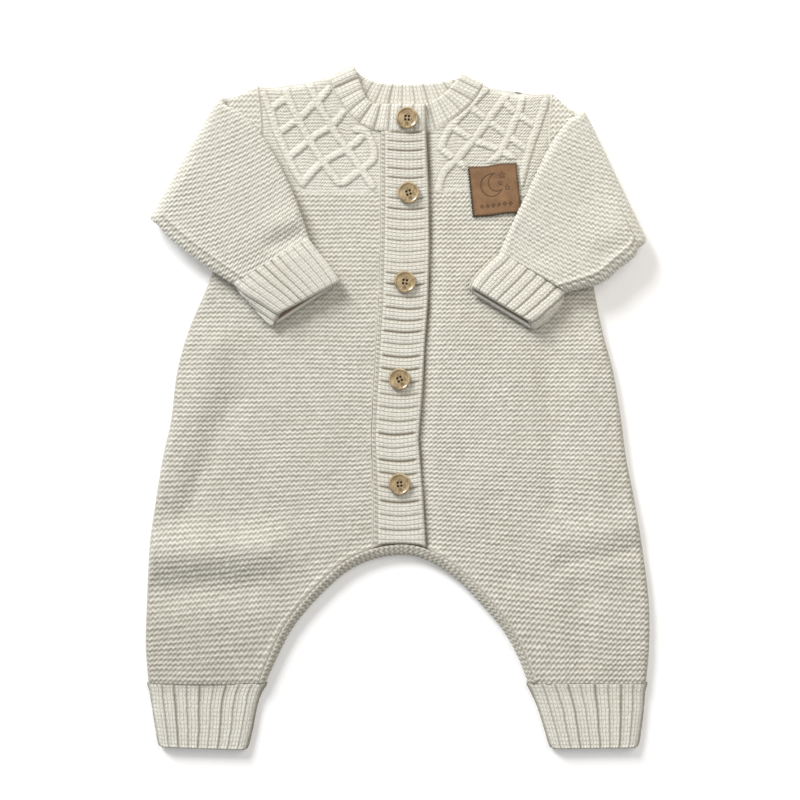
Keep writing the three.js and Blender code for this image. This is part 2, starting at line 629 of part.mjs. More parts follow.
function backRowEnds(side, inset, counts) {
  const outer = outerEdge(side, inset);
  const neck = measured(trimmed(backNeckEdge(side), inset, 0));
  const top = neck.points[neck.points.length - 1];
  const crotch = archOffset(side, 0, ROLL);
  const armhole = outer.armhole.length;
  const flankEnd = distanceAtY(outer.flank, CROTCH_SIDE_Y);
  const ends = [];
  for (let i = 0; i <= counts.neck; i += 1) {
    const share = i / counts.neck;
    ends.push([along(neck, neck.length * share), along(outer.armhole, armhole * BACK_ARMHOLE_SHARE * share)]);
  }
  for (let i = 1; i <= counts.armhole; i += 1) {
    const share = i / counts.armhole;
    ends.push([new THREE.Vector2(CENTRE_X, mix(top.y, UNDERARM_Y, share)),
      along(outer.armhole, armhole * mix(BACK_ARMHOLE_SHARE, 1, share))]);
  }
  for (let i = 1; i <= counts.torso; i += 1) {
    const share = i / counts.torso;
    ends.push([new THREE.Vector2(CENTRE_X, mix(UNDERARM_Y, crotch.y, share)), along(outer.flank, flankEnd * share)]);
  }
  for (let i = 1; i <= LEG_ROWS; i += 1) {
    const share = i / LEG_ROWS;
    ends.push([archOffset(side, share, ROLL), along(outer.flank, mix(flankEnd, outer.flank.length, share))]);
  }
  return ends;
}

function wrapProfile(side, share, lining) {
  const steps = lining ? INNER_ROLL_STEPS : ROLL_STEPS;
  const reach = lining ? HALF_HEIGHT - WALL : HALF_HEIGHT;
  const rise = lining ? innerBulge : outerBulge;
  const under = [...steps].reverse().map((d) => ({ d, z: HALF_HEIGHT - reach * rise(d) }));
  const over = steps.slice(1).map((d) => ({ d, z: HALF_HEIGHT + reach * rise(d) }));
  const edge = { d: archSeamDepth(share), z: HALF_HEIGHT + reach };
  return [...under, ...over, edge].map(({ d, z }) => {
    const p = archOffset(side, share, d);
    return new THREE.Vector3(p.x, p.y, z);
  });
}

function backHalf(solid, side, lining, middle) {
  const inset = lining ? WALL : 0;
  const counts = lining ? BACK_LINING_ROWS : BACK_ROWS;
  const columns = lining ? BACK_LINING_COLUMNS : BACK_COLUMNS;
  const edgeSteps = lining ? INNER_ROLL_STEPS : ROLL_STEPS;
  const height = lining ? backLiningZ : backOuterZ;
  const ends = backRowEnds(side, inset, counts);
  const all = [ends[0], ...shoulderRows(side, ends, edgeSteps), ...ends.slice(1)];
  const added = all.length - ends.length;
  const neckEnd = counts.neck + added;
  const crotch = neckEnd + counts.armhole + counts.torso;
  const rows = all.map((pair, i) => {
    const points = panelRow(pair, edgeSteps, columns, (x, y) => height(side, x, y));
    const shared = middle && i >= neckEnd && i <= crotch ? middle.rows[i].index : undefined;
    return solid.row(points, shared);
  });
  solid.stitchAll(rows);
  const wraps = rows.slice(crotch).map((row, i) => {
    if (middle && i === 0) return middle.wrap;
    return solid.row(wrapProfile(side, i / LEG_ROWS, lining), row[0].index);
  });
  solid.stitchAll(wraps);
  return {
    middle: { rows: rows.map((row) => row[0]), wrap: wraps[0] },
    edges: [
      rows[0],
      solid.chain(rows.slice(0, neckEnd + 1).map((row) => row[0])),
      solid.chain(rows.map((row) => row[row.length - 1])),
      rows[rows.length - 1],
      wraps[wraps.length - 1],
      solid.chain(wraps.map((row) => row[row.length - 1])),
    ],
  };
}

function backPanel() {
  const solid = new Solid();
  const [outer, lining] = [false, true].map((isLining) => {
    const left = backHalf(solid, 'left', isLining);
    const right = backHalf(solid, 'right', isLining, left.middle);
    return [...left.edges, ...right.edges];
  });
  outer.forEach((edge, i) => solid.stitch(edge, lining[i]));
  return solid.geometry();
}

// Neckband

function neckStations() {
  const full = 2 * HALF_HEIGHT - WALL / 2;
  const over = (OVERLAP.bottom + OVERLAP.top) / 2;
  const under = (UNDERLAP.bottom + UNDERLAP.top) / 2;
  const flat = ({ freeX, freeY, sewnX, sewnY, sunk = 0 }, z) => ({
    free: new THREE.Vector3(freeX, freeY, z), sewn: new THREE.Vector3(sewnX, sewnY, z), sunk,
  });
  const leftHeights = [over, over, over, mix(over, full, 0.5)];
  const left = NECK_FRONT_LEFT.map((station, i) => flat(station, leftHeights[i] ?? full));
  const back = NECK_BACK.map((station) => flat(station, WALL / 2));
  const right = NECK_FRONT_RIGHT.map((station) => flat(station, mix(full, under, station.sunk)));
  return [...left, ...shoulderFold('left'), ...back, ...shoulderFold('right').reverse(), ...right];
}

function shoulderFold(side) {
  const { freeX, freeY, sewnX, sewnY } = NECK_SHOULDER[side];
  const free = new THREE.Vector3(freeX, freeY, HALF_HEIGHT);
  const sewn = new THREE.Vector3(sewnX, sewnY, HALF_HEIGHT);
  const run = sewn.clone().sub(free).normalize();
  const out = new THREE.Vector3(run.y, -run.x, 0).multiplyScalar(inwards[side]);
  return [0, 1, 2, 3, 4].map((i) => {
    const angle = (Math.PI * i) / 4;
    const move = out.clone().multiplyScalar(NECK_FOLD_RADIUS * Math.sin(angle));
    move.z = NECK_FOLD_RADIUS * Math.cos(angle);
    return { free: free.clone().add(move), sewn: sewn.clone().add(move), sunk: 0 };
  });
}

function neckband() {
  const stations = neckStations();
  const freeEdge = new THREE.CatmullRomCurve3(stations.map(({ free }) => free), false, 'centripetal');
  const sewnEdge = new THREE.CatmullRomCurve3(stations.map(({ sewn }) => sewn), false, 'centripetal');
  const sunkAt = (t) => {
    const place = t * (stations.length - 1);
    const i = Math.min(Math.floor(place), stations.length - 2);
    return mix(stations[i].sunk, stations[i + 1].sunk, place - i);
  };
  const middleAt = (t) => freeEdge.getPoint(t).lerp(sewnEdge.getPoint(t), 0.5);
  const steps = 1200;
  const reach = [0];
  for (let i = 1; i <= steps; i += 1) reach.push(reach[i - 1] + middleAt(i / steps).distanceTo(middleAt((i - 1) / steps)));
  const ribs = Math.round(reach[steps] / NECK_RIB_PITCH);
  const pitch = reach[steps] / ribs;
  const sections = [];
  for (let rib = 0; rib <= ribs; rib += 1) {
    RIB_PHASES.filter((phase) => rib < ribs || phase === 0).forEach((phase) => {
      const t = reach.findIndex((r) => r >= (rib + phase) * pitch - 1e-6) / steps;
      const before = middleAt(Math.max(t - 1 / steps, 0));
      const tangent = middleAt(Math.min(t + 1 / steps, 1)).sub(before).normalize();
      sections.push(neckSection(freeEdge.getPoint(t), sewnEdge.getPoint(t), tangent, sunkAt(t), phase === 0 ? 0 : 1));
    });
  }
  return sweptSolid(sections);
}

function neckSection(free, sewn, tangent, sunk, ribbed) {
  const lowest = WALL / 2;
  free.z = Math.max(free.z, lowest);
  sewn.z = Math.max(sewn.z, lowest);
  const across = sewn.clone().sub(free).normalize();
  const normal = tangent.clone().cross(across).normalize();
  const half = mix(WALL / 2, (UNDERLAP.top - UNDERLAP.bottom) / 2, sunk);
  const frontShare = Math.min(Math.max((free.z - lowest) / (2 * NECK_FOLD_RADIUS), 0), 1);
  const outside = half + RIB * ribbed * frontShare * (1 - sunk);
  const insideRib = NECK_INSIDE_RIB * ribbed * (1 - frontShare);
  const corner = RIB_SHOULDER / free.distanceTo(sewn);
  const spot = (share, lift) => free.clone().lerp(sewn, share).addScaledVector(normal, lift);
  return [spot(0, 0), spot(corner, outside), spot(0.5, outside), spot(1 - corner, outside), spot(1, 0),
    spot(1 - corner, -half), spot(0.5, -half - insideRib * 0.6), spot(corner, -half - insideRib)];
}

// Placket and the band under it

function placketBow(x, y) {
  const share = Math.min(Math.max(1 - (y - PLACKET_END_Y) / PLACKET_BOW.reach, 0), 1);
  return -PLACKET_BOW.depth * share * ((x - CENTRE_X) / PLACKET_BOW.halfWidth) ** 2;
}

function bandPoint(x, y, z) {
  return new THREE.Vector3(x, y + placketBow(x, y), z);
}

function grooveY(place) {
  const i = Math.min(Math.floor(place / GROOVE_STEP), PLACKET_GROOVES.length - 2);
  return mix(PLACKET_GROOVES[i], PLACKET_GROOVES[i + 1], place / GROOVE_STEP - i);
}

function placket() {
  const top = [];
  for (let rib = 0; rib <= PLACKET_RIBS; rib += 1) {
    RIB_PHASES.filter((phase) => rib < PLACKET_RIBS || phase === 0).forEach((phase) => {
      const y = grooveY(rib + phase);
      const left = xAtY(PLACKET_LEFT, y);
      const right = xAtY(PLACKET_RIGHT, y);
      const ribTop = OVERLAP.top + (phase === 0 ? 0 : RIB);
      top.push([bandPoint(left, y, OVERLAP.top), bandPoint(left + SELVEDGE, y, OVERLAP.top),
        bandPoint(left + SELVEDGE + RIB_SHOULDER, y, ribTop), bandPoint((left + right) / 2, y, ribTop),
        bandPoint(right - RIB_SHOULDER, y, ribTop), bandPoint(right, y, OVERLAP.top)]);
    });
  }
  return sheetSolid(top, bandRows(OVERLAP.bottom, 0, 0));
}

function bandRows(z, leftInset, rightInset) {
  return Array.from({ length: BAND_ROWS + 1 }, (_, i) => {
    const y = mix(PLACKET_TOP_Y, PLACKET_END_Y, i / BAND_ROWS);
    const left = xAtY(PLACKET_LEFT, y) + leftInset;
    const right = xAtY(PLACKET_RIGHT, y) - rightInset;
    return [bandPoint(left, y, z), bandPoint((left + right) / 2, y, z), bandPoint(right, y, z)];
  });
}

function buttonBand() {
  const rows = (z) => bandRows(z, BUTTON_BAND_INSET.left, BUTTON_BAND_INSET.right);
  return sheetSolid(rows(UNDERLAP.top), rows(UNDERLAP.bottom));
}

// Flat tubes

function tubeSpots(width, edgeSteps, columns) {
  const near = edgeSteps.map((d) => ({ share: d / width, distance: d }));
  const far = [...edgeSteps].reverse().map((d) => ({ share: 1 - d / width, distance: d }));
  const start = near[near.length - 1].share;
  const end = far[0].share;
  const between = Array.from({ length: columns }, (_, i) => {
    const share = mix(start, end, (i + 1) / (columns + 1));
    return { share, distance: Math.min(share, 1 - share) * width };
  });
  return [...near, ...between, ...far];
}

function tubeRing(width, place, lining, columns) {
  const spots = tubeSpots(width, lining ? INNER_ROLL_STEPS : ROLL_STEPS, columns);
  const half = (d) => (lining ? (HALF_HEIGHT - WALL) * innerBulge(d) : HALF_HEIGHT * outerBulge(d));
  const faceUp = spots.map(({ share, distance }) => place(share, half(distance)));
  const faceDown = spots.slice(1, -1).reverse().map(({ share, distance }) => place(share, -half(distance)));
  return [...faceUp, ...faceDown];
}

// Sleeves

function sleeveShape(side) {
  const { foldTop, foldLow, skewTop, skewLow, upper, lower } = SLEEVE[side];
  const top = new THREE.Vector2(foldTop.x, foldTop.y);
  const low = new THREE.Vector2(foldLow.x, foldLow.y);
  const run = low.clone().sub(top).normalize();
  const out = new THREE.Vector2(run.y, -run.x).multiplyScalar(inwards[side]);
  const reach = SLEEVE_BEND_RADIUS + HALF_HEIGHT;
  const axis = (share, layer) => top.clone().lerp(low, share).addScaledVector(out, -reach)
    .addScaledVector(run, (layer * mix(skewTop, skewLow, share)) / 2);
  const armhole = measured(shifted(armholeLine[side], -inwards[side] * CURVED_SEAM));
  const upperEdge = measured(smoothLine([axis(0, 1), ...upper]));
  const lowerEdge = measured(smoothLine([axis(1, 1), ...lower]));
  return { out, axis, armhole, upperEdge, lowerEdge };
}

function sleevePlaces(side) {
  const { out, axis, armhole, upperEdge, lowerEdge } = sleeveShape(side);
  const flat = (plan, z, facing) => (share, lift) => {
    const p = plan(share);
    return new THREE.Vector3(p.x, p.y, z + facing * lift);
  };
  const places = [];
  for (let i = 0; i < SLEEVE_RINGS.lower; i += 1) {
    const t = i / SLEEVE_RINGS.lower;
    const plan = (share) => along(armhole, armhole.length * share).lerp(axis(share, -1), t);
    places.push({ plan, place: flat(plan, HALF_HEIGHT, 1) });
  }
  for (let i = 0; i <= SLEEVE_RINGS.bend; i += 1) {
    const turn = i / SLEEVE_RINGS.bend;
    const angle = Math.PI * turn;
    const plan = (share) => axis(share, 2 * turn - 1);
    const place = (share, lift) => {
      const p = plan(share).addScaledVector(out, (SLEEVE_BEND_RADIUS - lift) * Math.sin(angle));
      const z = HALF_HEIGHT + SLEEVE_BEND_RADIUS - (SLEEVE_BEND_RADIUS - lift) * Math.cos(angle);
      return new THREE.Vector3(p.x, p.y, z);
    };
    places.push({ plan, place });
  }
  for (let i = 1; i <= SLEEVE_RINGS.upper; i += 1) {
    const t = i / SLEEVE_RINGS.upper;
    const plan = (share) => along(upperEdge, upperEdge.length * t).lerp(along(lowerEdge, lowerEdge.length * t), share);
    places.push({ plan, place: flat(plan, HALF_HEIGHT + 2 * SLEEVE_BEND_RADIUS, -1) });
  }
  return places;
}

function sleeve(side) {
  const rings = (lining, columns) => sleevePlaces(side).map(({ plan, place }) => {
    const width = plan(0).distanceTo(plan(1));
    return tubeRing(width, place, lining, columns);
  });
  return tubeSolid(rings(false, SLEEVE_COLUMNS), rings(true, SLEEVE_LINING_COLUMNS));
}

// Cuffs

function cuff({ ribs, top, under = top }, z) {
  const at = ({ ax, ay, bx, by }, share) => new THREE.Vector2(mix(ax, bx, share), mix(ay, by, share));
  const width = ({ ax, ay, bx, by }) => Math.hypot(bx - ax, by - ay);
  const place = (i, share, lift) => {
    const line = lift >= 0 ? top[i] : under[i];
    const p = at(line, share);
    if (lift === 0) p.lerp(at(under[i], share), 0.5);
    return new THREE.Vector3(p.x, p.y, z + lift);
  };
  const outer = top.map((line, i) => {
    const wide = width(line);
    const ribHeight = i === 0 ? GATHERED_RIB : RIB;
    const up = [];
    for (let rib = 0; rib < ribs; rib += 1) {
      RIB_PHASES.forEach((phase) => {
        const share = (rib + phase) / ribs;
        const rise = outerBulge(Math.min(share, 1 - share) * wide);
        up.push(place(i, share, HALF_HEIGHT * rise + (phase === 0 ? 0 : ribHeight * rise)));
      });
    }
    const down = tubeSpots(wide, ROLL_STEPS, CUFF_COLUMNS.under).slice(1, -1).reverse()
      .map(({ share, distance }) => place(i, share, -HALF_HEIGHT * outerBulge(distance)));
    return [...up, place(i, 1, 0), ...down];
  });
  const lining = top.map((line, i) => tubeRing(width(line), (share, lift) => place(i, share, lift), true,
    CUFF_COLUMNS.lining));
  return tubeSolid(outer, lining);
}

// Buttons and patch

function toManifold(geometry) {
  const plain = geometry.clone();
  plain.deleteAttribute('normal');
  plain.deleteAttribute('uv');
  const merged = mergeVertices(plain, 1e-4);
  return new wasm.Manifold(new wasm.Mesh({
    numProp: 3, vertProperties: merged.attributes.position.array, triVerts: new Uint32Array(merged.index.array),
  }));
}

function fromManifold(manifold) {
  const mesh = manifold.getMesh();
  const geometry = new THREE.BufferGeometry();
  geometry.setAttribute('position', new THREE.BufferAttribute(new Float32Array(mesh.vertProperties), 3));
  geometry.setIndex(Array.from(mesh.triVerts));
  geometry.computeVertexNormals();
  return geometry;
}

function button() {
  const { radius, thickness, rim, rimDrop, hole, holeSpread, sides } = BUTTON;
  const profile = [[0, 0], [radius - 1.2, 0], [radius, 1], [radius, thickness - 1], [radius - 0.6, thickness],
    [radius - rim, thickness], [radius - rim - 0.6, thickness - rimDrop], [0, thickness - rimDrop]];
  const disc = new THREE.LatheGeometry(profile.map(([r, h]) => new THREE.Vector2(r, h)), sides);
  disc.rotateX(Math.PI / 2);
  let body = toManifold(disc);
  [[1, 1], [1, -1], [-1, 1], [-1, -1]].forEach(([i, j]) => {
    const drill = new THREE.CylinderGeometry(hole, hole, 3 * thickness, 6);
    drill.rotateX(Math.PI / 2);
    drill.translate(i * holeSpread, j * holeSpread, thickness / 2);
    body = body.subtract(toManifold(drill));
  });
  return fromManifold(body);
}

function patch() {
  const { width, height, corner, thickness, bevel } = PATCH;
  const [x, y] = [width / 2 - bevel, height / 2 - bevel];
  const shape = new THREE.Shape();
  shape.moveTo(-x + corner, -y);
  shape.lineTo(x - corner, -y);
  shape.quadraticCurveTo(x, -y, x, -y + corner);
  shape.lineTo(x, y - corner);
  shape.quadraticCurveTo(x, y, x - corner, y);
  shape.lineTo(-x + corner, y);
  shape.quadraticCurveTo(-x, y, -x, y - corner);
  shape.lineTo(-x, -y + corner);
  shape.quadraticCurveTo(-x, -y, -x + corner, -y);
  return new THREE.ExtrudeGeometry(shape, {
    depth: thickness, bevelThickness: bevel, bevelSize: bevel, bevelSegments: 1, curveSegments: 4,
  });
}

// The garment

const romper = new THREE.Group();

function addPiece(name, geometry, colour, roughness = 0.95) {
  const material = new THREE.MeshStandardMaterial({ color: colour, roughness, metalness: 0 });
  const mesh = new THREE.Mesh(geometry, material);
  mesh.name = name;
  romper.add(mesh);
  return mesh;
}

addPiece('back', backPanel(), COLOUR.knit);
['left', 'right'].forEach((side) => {
  addPiece(`front_${side}`, frontPanel(side), COLOUR.knit);
  addPiece(`sleeve_${side}`, sleeve(side), COLOUR.knit);
  addPiece(`sleeve_cuff_${side}`, cuff(SLEEVE_CUFF[side], HALF_HEIGHT + 2 * SLEEVE_BEND_RADIUS), COLOUR.rib);
  addPiece(`leg_cuff_${side}`, cuff(LEG_CUFF[side], HALF_HEIGHT), COLOUR.rib);
});
addPiece('neckband', neckband(), COLOUR.rib);
addPiece('placket', placket(), COLOUR.rib);
addPiece('button_band', buttonBand(), COLOUR.rib);

const leather = addPiece('patch', patch(), COLOUR.leather, 0.6);
leather.position.set(PATCH.x, PATCH.y, 2 * HALF_HEIGHT + SEAM + PATCH.bevel);
leather.rotation.z = THREE.MathUtils.degToRad(PATCH.turn);

const buttonBase = OVERLAP.top + RIB + SEAM;
BUTTON_PLACES.forEach(({ x, y }, i) => {
  addPiece(`button_${i + 1}`, button(), COLOUR.button, 0.35).position.set(x, y, buttonBase);
});

export default romper;
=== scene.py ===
"""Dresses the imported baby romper: each cloth piece is a thin knitted shell on its solid's form."""
import math

import bmesh
import bpy
import numpy as np
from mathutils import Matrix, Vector


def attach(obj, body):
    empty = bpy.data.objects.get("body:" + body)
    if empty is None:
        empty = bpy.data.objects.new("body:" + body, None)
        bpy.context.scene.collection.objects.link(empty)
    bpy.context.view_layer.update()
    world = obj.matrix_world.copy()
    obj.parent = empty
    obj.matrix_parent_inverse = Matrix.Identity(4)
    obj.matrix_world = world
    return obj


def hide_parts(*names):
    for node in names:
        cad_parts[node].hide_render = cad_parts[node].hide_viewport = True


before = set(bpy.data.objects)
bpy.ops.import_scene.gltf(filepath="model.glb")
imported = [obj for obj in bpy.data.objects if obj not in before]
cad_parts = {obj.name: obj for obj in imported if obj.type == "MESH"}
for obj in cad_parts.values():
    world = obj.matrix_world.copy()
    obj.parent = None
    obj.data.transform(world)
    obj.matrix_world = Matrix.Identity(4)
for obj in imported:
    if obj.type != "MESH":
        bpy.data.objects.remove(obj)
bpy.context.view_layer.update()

MM = 0.001

# Cloth, in millimetres, as in the solids
WALL = 2.6
SEAM = 0.3
CURVED_SEAM = 0.1
PANEL_GAP = 0.08
NECK_SEAM = {"front": 0.1, "back": 0.6}
HALF_HEIGHT = 3.8
ROLL = 5.0
CENTRE_X = 2.0
LINE_POINTS = 240

SHOULDER = {
    "left": [(-51.3, 242.6), (-57, 241), (-65.5, 238), (-74, 236), (-86, 234.5), (-94, 234.8), (-102, 236)],
    "right": [(64, 236.8), (69.5, 233), (77, 230.5), (87, 228), (94, 229.2), (104, 230.2), (113.5, 230.5)],
}
ARMHOLE = {
    "left": [(-102, 236), (-99, 203), (-102.5, 170), (-113.5, 142.5), (-128, 120.5)],
    "right": [(113.5, 230.5), (111.5, 203), (114, 170), (124.5, 141), (139, 114)],
}
SIDE = {
    "left": [(-128, 120.5), (-139, 90), (-153, 57), (-161.5, 26.5), (-166, -9), (-172, -36.5),
             (-177, -67), (-181.5, -100), (-183.5, -140), (-184.5, -173), (-182.5, -201.5)],
    "right": [(139, 114), (143.5, 90), (150, 57), (158, 26.5), (164, -9), (167.5, -36.5),
              (173.5, -67), (179, -100), (184, -140), (184.5, -173), (182, -201.5)],
}
ARCH = [(-96.5, -201.5), (-88.5, -184), (-77, -162), (-59, -140), (-37.5, -120.5), (-18.5, -111.3),
        (CENTRE_X, -108), (19.5, -111), (40, -123), (59, -141.5), (76.5, -162), (88, -182.5), (95.5, -201.5)]
ARCH_SEAM_DEPTH = {"crotch": 8.3, "ankle": 5.6}
LEG_START = 1 / 8
YOKE_END_Y = 156
UNDERARM_Y = 116
CROTCH_SIDE_Y = -118
BACK_ARMHOLE_SHARE = 0.3

# Front opening
OVERLAP = {"bottom": 5.7, "top": 8.3}
UNDERLAP = {"bottom": 3.1, "top": 5.3}
UNDERLAP_INSET = 5
UNDERLAP_SLOPE = 12
PLACKET_LEFT = [(-12, 201.4), (-12, 155), (-12.5, 115), (-13.5, 79), (-15.5, 46), (-17.5, 13), (-19, -23),
                (-17.5, -60), (-17, -102)]
PLACKET_RIGHT = [(21, 201.4), (23, 155), (23.5, 115), (22.5, 79), (20, 46), (18.5, 13), (15.5, -23),
                 (18.5, -60), (21, -102)]
PLACKET_TOP_Y = 201.55
PLACKET_END_Y = -99.1
PLACKET_BOW = {"depth": 3, "half_width": 19, "reach": 14}
SELVEDGE = 2.9
BUTTON_BAND_INSET = {"left": 3, "right": 6}
# Height of every fifth groove between the placket's ribs, which are wider lower down
PLACKET_GROOVES = [201.2, 168.3, 130.7, 90.2, 47, 0.3, -47.9, -99.1]
GROOVE_STEP = 5
RIB = 0.95

# Soft folds of the front, as ridges between two ends: x1, y1, x2, y2, width, height
FOLDS = [
    (-134, 44, -168, -56, 16, 2.4), (-120, 5, -157, -78, 9, -1.5), (-186, -107, -94, -104, 16, 4.6),
    (-186, -134, -108, -131, 13, -2.0), (-148, -150, -140, -185, 16, 0.9), (-60, 60, -52, -40, 16, 0.9),
    (138, 40, 150, -110, 18, 2.4), (109, 45, 114, -70, 8, -1.5), (118, -96, 178, -84, 10, 1.3),
    (118, -116, 178, -102, 6, -1.0), (131, -135, 135, -185, 8, -1.3), (40, 60, 62, -60, 14, 0.8),
    (80, -124, 102, -128, 7, -1.0), (45, -35, 50, -72, 9, -0.9), (150, -150, 156, -185, 9, 1.2),
]

CABLES = {
    "left": [
        [(-97.5, 229), (-91.5, 214), (-87, 199.5), (-76.5, 176), (-69, 163.5)],
        [(-81.5, 233), (-77.5, 221), (-65.5, 197), (-50, 173.5), (-42.5, 164)],
        [(-64.5, 237), (-54.5, 215.5), (-37.5, 190), (-18, 162)],
        [(-30.5, 203.5), (-22.5, 201), (-17, 184), (-22.5, 176.5), (-39, 164)],
        [(-83, 225.5), (-91.5, 219.5)],
        [(-60, 224), (-71, 213), (-86.5, 201)],
        [(-50.5, 233.5), (-59, 224)],
        [(-40, 216), (-48.5, 206.5), (-64.5, 195.5), (-80, 182.5)],
        [(-26, 198.5), (-37.5, 189), (-56, 178), (-69, 164)],
    ],
    "right": [
        [(108, 224), (102, 204.5), (94, 179.5), (90, 163.5)],
        [(91, 226), (88.5, 216), (76.5, 188.5), (66, 178)],
        [(79, 228), (63, 205), (42, 180.5), (33, 171), (29.5, 158.5)],
        [(64, 232), (56, 223.5), (37.5, 203.5), (31.5, 190)],
        [(77, 225.5), (88, 214.5), (102.5, 205)],
        [(55.5, 219), (67, 209.5), (96.5, 187)],
        [(40, 206), (56, 195.5), (76.5, 187.5), (92.5, 175)],
        [(31, 190), (42.5, 181), (53, 173.5)],
    ],
}

# Neckband stations: free x, free y, sewn x, sewn y and how far it lies under the other end
NECK_FOLD_RADIUS = 2.5
NECK_RIB_PITCH = 8.8
NECK_RIB = 1.1
NECK_FRONT_LEFT = [
    (20.5, 222.5, 21, 201.8, 0), (4.5, 222.5, 4.5, 201.6, 0), (-7, 222.5, -10, 201.8, 0),
    (-13.5, 222.5, -19.5, 203.5, 0), (-18, 223, -28, 208.5, 0), (-22, 226.5, -34.5, 214.5, 0),
    (-24.5, 231.5, -40.5, 222.5, 0), (-27, 238, -45.5, 230.5, 0)]
NECK_SHOULDER = {"left": (-30.4, 247.5, -48.9, 239.3), "right": (45.3, 242.6, 61.4, 233.9)}
NECK_BACK = [(-25, 243, -39, 230.5, 0), (-15, 239, -25, 221.8, 0), (4.5, 237.5, 4.5, 217.5, 0),
             (26, 238.5, 34, 220.5, 0), (38, 240.3, 51, 227.5, 0)]
NECK_FRONT_RIGHT = [
    (40, 236.5, 58.5, 228.5, 0), (36, 232, 52, 220.5, 0), (31.5, 228.5, 44, 213.5, 0),
    (27, 225.8, 34.5, 207.3, 0.45), (22, 223.6, 27, 203.8, 1), (14, 222.5, 17.5, 201.9, 1),
    (-1, 222.3, -1, 201.7, 1)]

SLEEVE_BEND_RADIUS = 5
SLEEVE = {
    "left": {
        "fold_top": (-131, 228.5), "fold_low": (-182, 138.5), "skew_top": 8, "skew_low": 2,
        "upper": [(-113, 214.5), (-99, 199.5), (-84.5, 175), (-72.5, 148), (-64.5, 123.7)],
        "lower": [(-168, 125.5), (-155, 114.5), (-136, 100.5), (-119.4, 89.8)],
    },
    "right": {
        "fold_top": (135.5, 219.5), "fold_low": (183, 121), "skew_top": 8, "skew_low": 2,
        "upper": [(124, 209.5), (110.5, 190.5), (98, 165), (86.5, 141), (74, 113.5)],
        "lower": [(172, 109.5), (161, 100.5), (148, 90.5), (122.5, 84)],
    },
}

# Cuffs: ends of the lines across the tube, from the seam to the hem
SLEEVE_CUFF = {
    "left": {
        "ribs": 10, "straight": 0.85,
        "top": [(-64.6, 123.66, -119.3, 89.78), (-60, 115, -111, 81.5), (-51, 105, -98.5, 75.5),
                (-41.5, 91.5, -87.5, 67.5)],
        "under": [(-64.6, 123.66, -119.3, 89.78), (-60, 115, -112, 80), (-51, 105, -102, 68.5), (-41.5, 91, -92, 58.5)],
    },
    "right": {
        "ribs": 7, "straight": 0.85,
        "top": [(73.95, 113.46, 122.45, 83.96), (66.5, 107, 117.5, 75), (58, 98, 108, 67), (52, 88.5, 97.5, 61.5)],
        "under": [(73.95, 113.46, 122.45, 83.96), (66.5, 107, 119, 73), (58, 97, 110, 63.5), (50.8, 85.5, 99.5, 56)],
    },
}
LEG_CUFF = {
    "left": {
        "ribs": 9,
        "top": [(-96.5, -201.55, -182.5, -201.55), (-100.5, -208, -181, -208), (-103.5, -218, -179.5, -218),
                (-106.5, -234, -177.2, -233), (-110.5, -250.7, -174.5, -248.5)],
    },
    "right": {
        "ribs": 9,
        "top": [(95.5, -201.55, 182, -201.55), (98.5, -208, 180.7, -208), (103, -218, 180.2, -218),
                (108, -234, 178.5, -233), (112.5, -249.8, 176, -249)],
    },
}

# Raised strands: the first four of each side run over the others
CABLE = {"half_width": 2.9, "height": 1.35, "over": 4}
BUTTON = {"radius": 8, "thickness": 3, "rim": 1.5, "rim_drop": 0.7, "hole": 0.95, "hole_spread": 1.25}
BUTTON_PLACES = [(7, 211.5), (8, 157), (5.5, 92), (1.5, 21), (1.5, -55.5)]
BUTTON_TURN = [-0.08, 0.3, -0.15, 0.45, 0.1]
PATCH = {"x": 71, "y": 159.3, "width": 35.5, "height": 36.5, "corner": 4, "thickness": 1.5, "turn": 6}

# Knit: size of a stitch, and how many mesh points it gets
STITCH = {"width": 3.45, "torso": 3.4, "leg": 4.1, "columns": 4, "rows": 4}
BACK_STITCH = {"width": 3.9, "height": 3.9, "samples": 3}
ROW_TILT = 0.1
STITCH_WAVES = {"row": 0.42, "lean": 0.32, "cross": -0.26}
STITCH_SPREAD = 0.3


# Plane lines

def mix(a, b, share):
    return a + (b - a) * share


def smooth(share):
    share = np.clip(share, 0, 1)
    return share * share * (3 - 2 * share)


def reach_of(points):
    steps = np.linalg.norm(np.diff(points, axis=0), axis=1)
    return np.concatenate([[0], np.cumsum(steps)])


def along(points, distance):
    reach = reach_of(points)
    return np.stack([np.interp(distance, reach, points[:, i]) for i in range(points.shape[1])], -1)


def evenly(points, count):
    return along(points, np.linspace(0, reach_of(points)[-1], count))


def curve_at(table, place):
    """Points of the smooth curve through the table, where place counts its stations."""
    table = np.asarray(table, float)
    place = np.clip(np.asarray(place, float), 0, len(table) - 1)
    first = np.minimum(place.astype(int), len(table) - 2)
    t = (place - first)[..., None]
    p1 = table[first]
    p2 = table[first + 1]
    p0 = table[np.maximum(first - 1, 0)]
    p3 = table[np.minimum(first + 2, len(table) - 1)]
    v1 = (p2 - p0) / 2
    v2 = (p3 - p1) / 2
    return ((2 * p1 - 2 * p2 + v1 + v2) * t ** 3 + (-3 * p1 + 3 * p2 - 2 * v1 - v2) * t ** 2 + v1 * t + p1)


def smooth_line(table, count=LINE_POINTS):
    return evenly(curve_at(table, np.linspace(0, len(table) - 1, 50 * len(table))), count)


def trimmed(points, start, end):
    length = reach_of(points)[-1]
    return along(points, np.linspace(start, length - end, len(points)))


def shifted(points, distance):
    run = np.gradient(points, axis=0)
    run = run / np.linalg.norm(run, axis=1)[:, None]
    return points + distance * np.stack([-run[:, 1], run[:, 0]], 1)


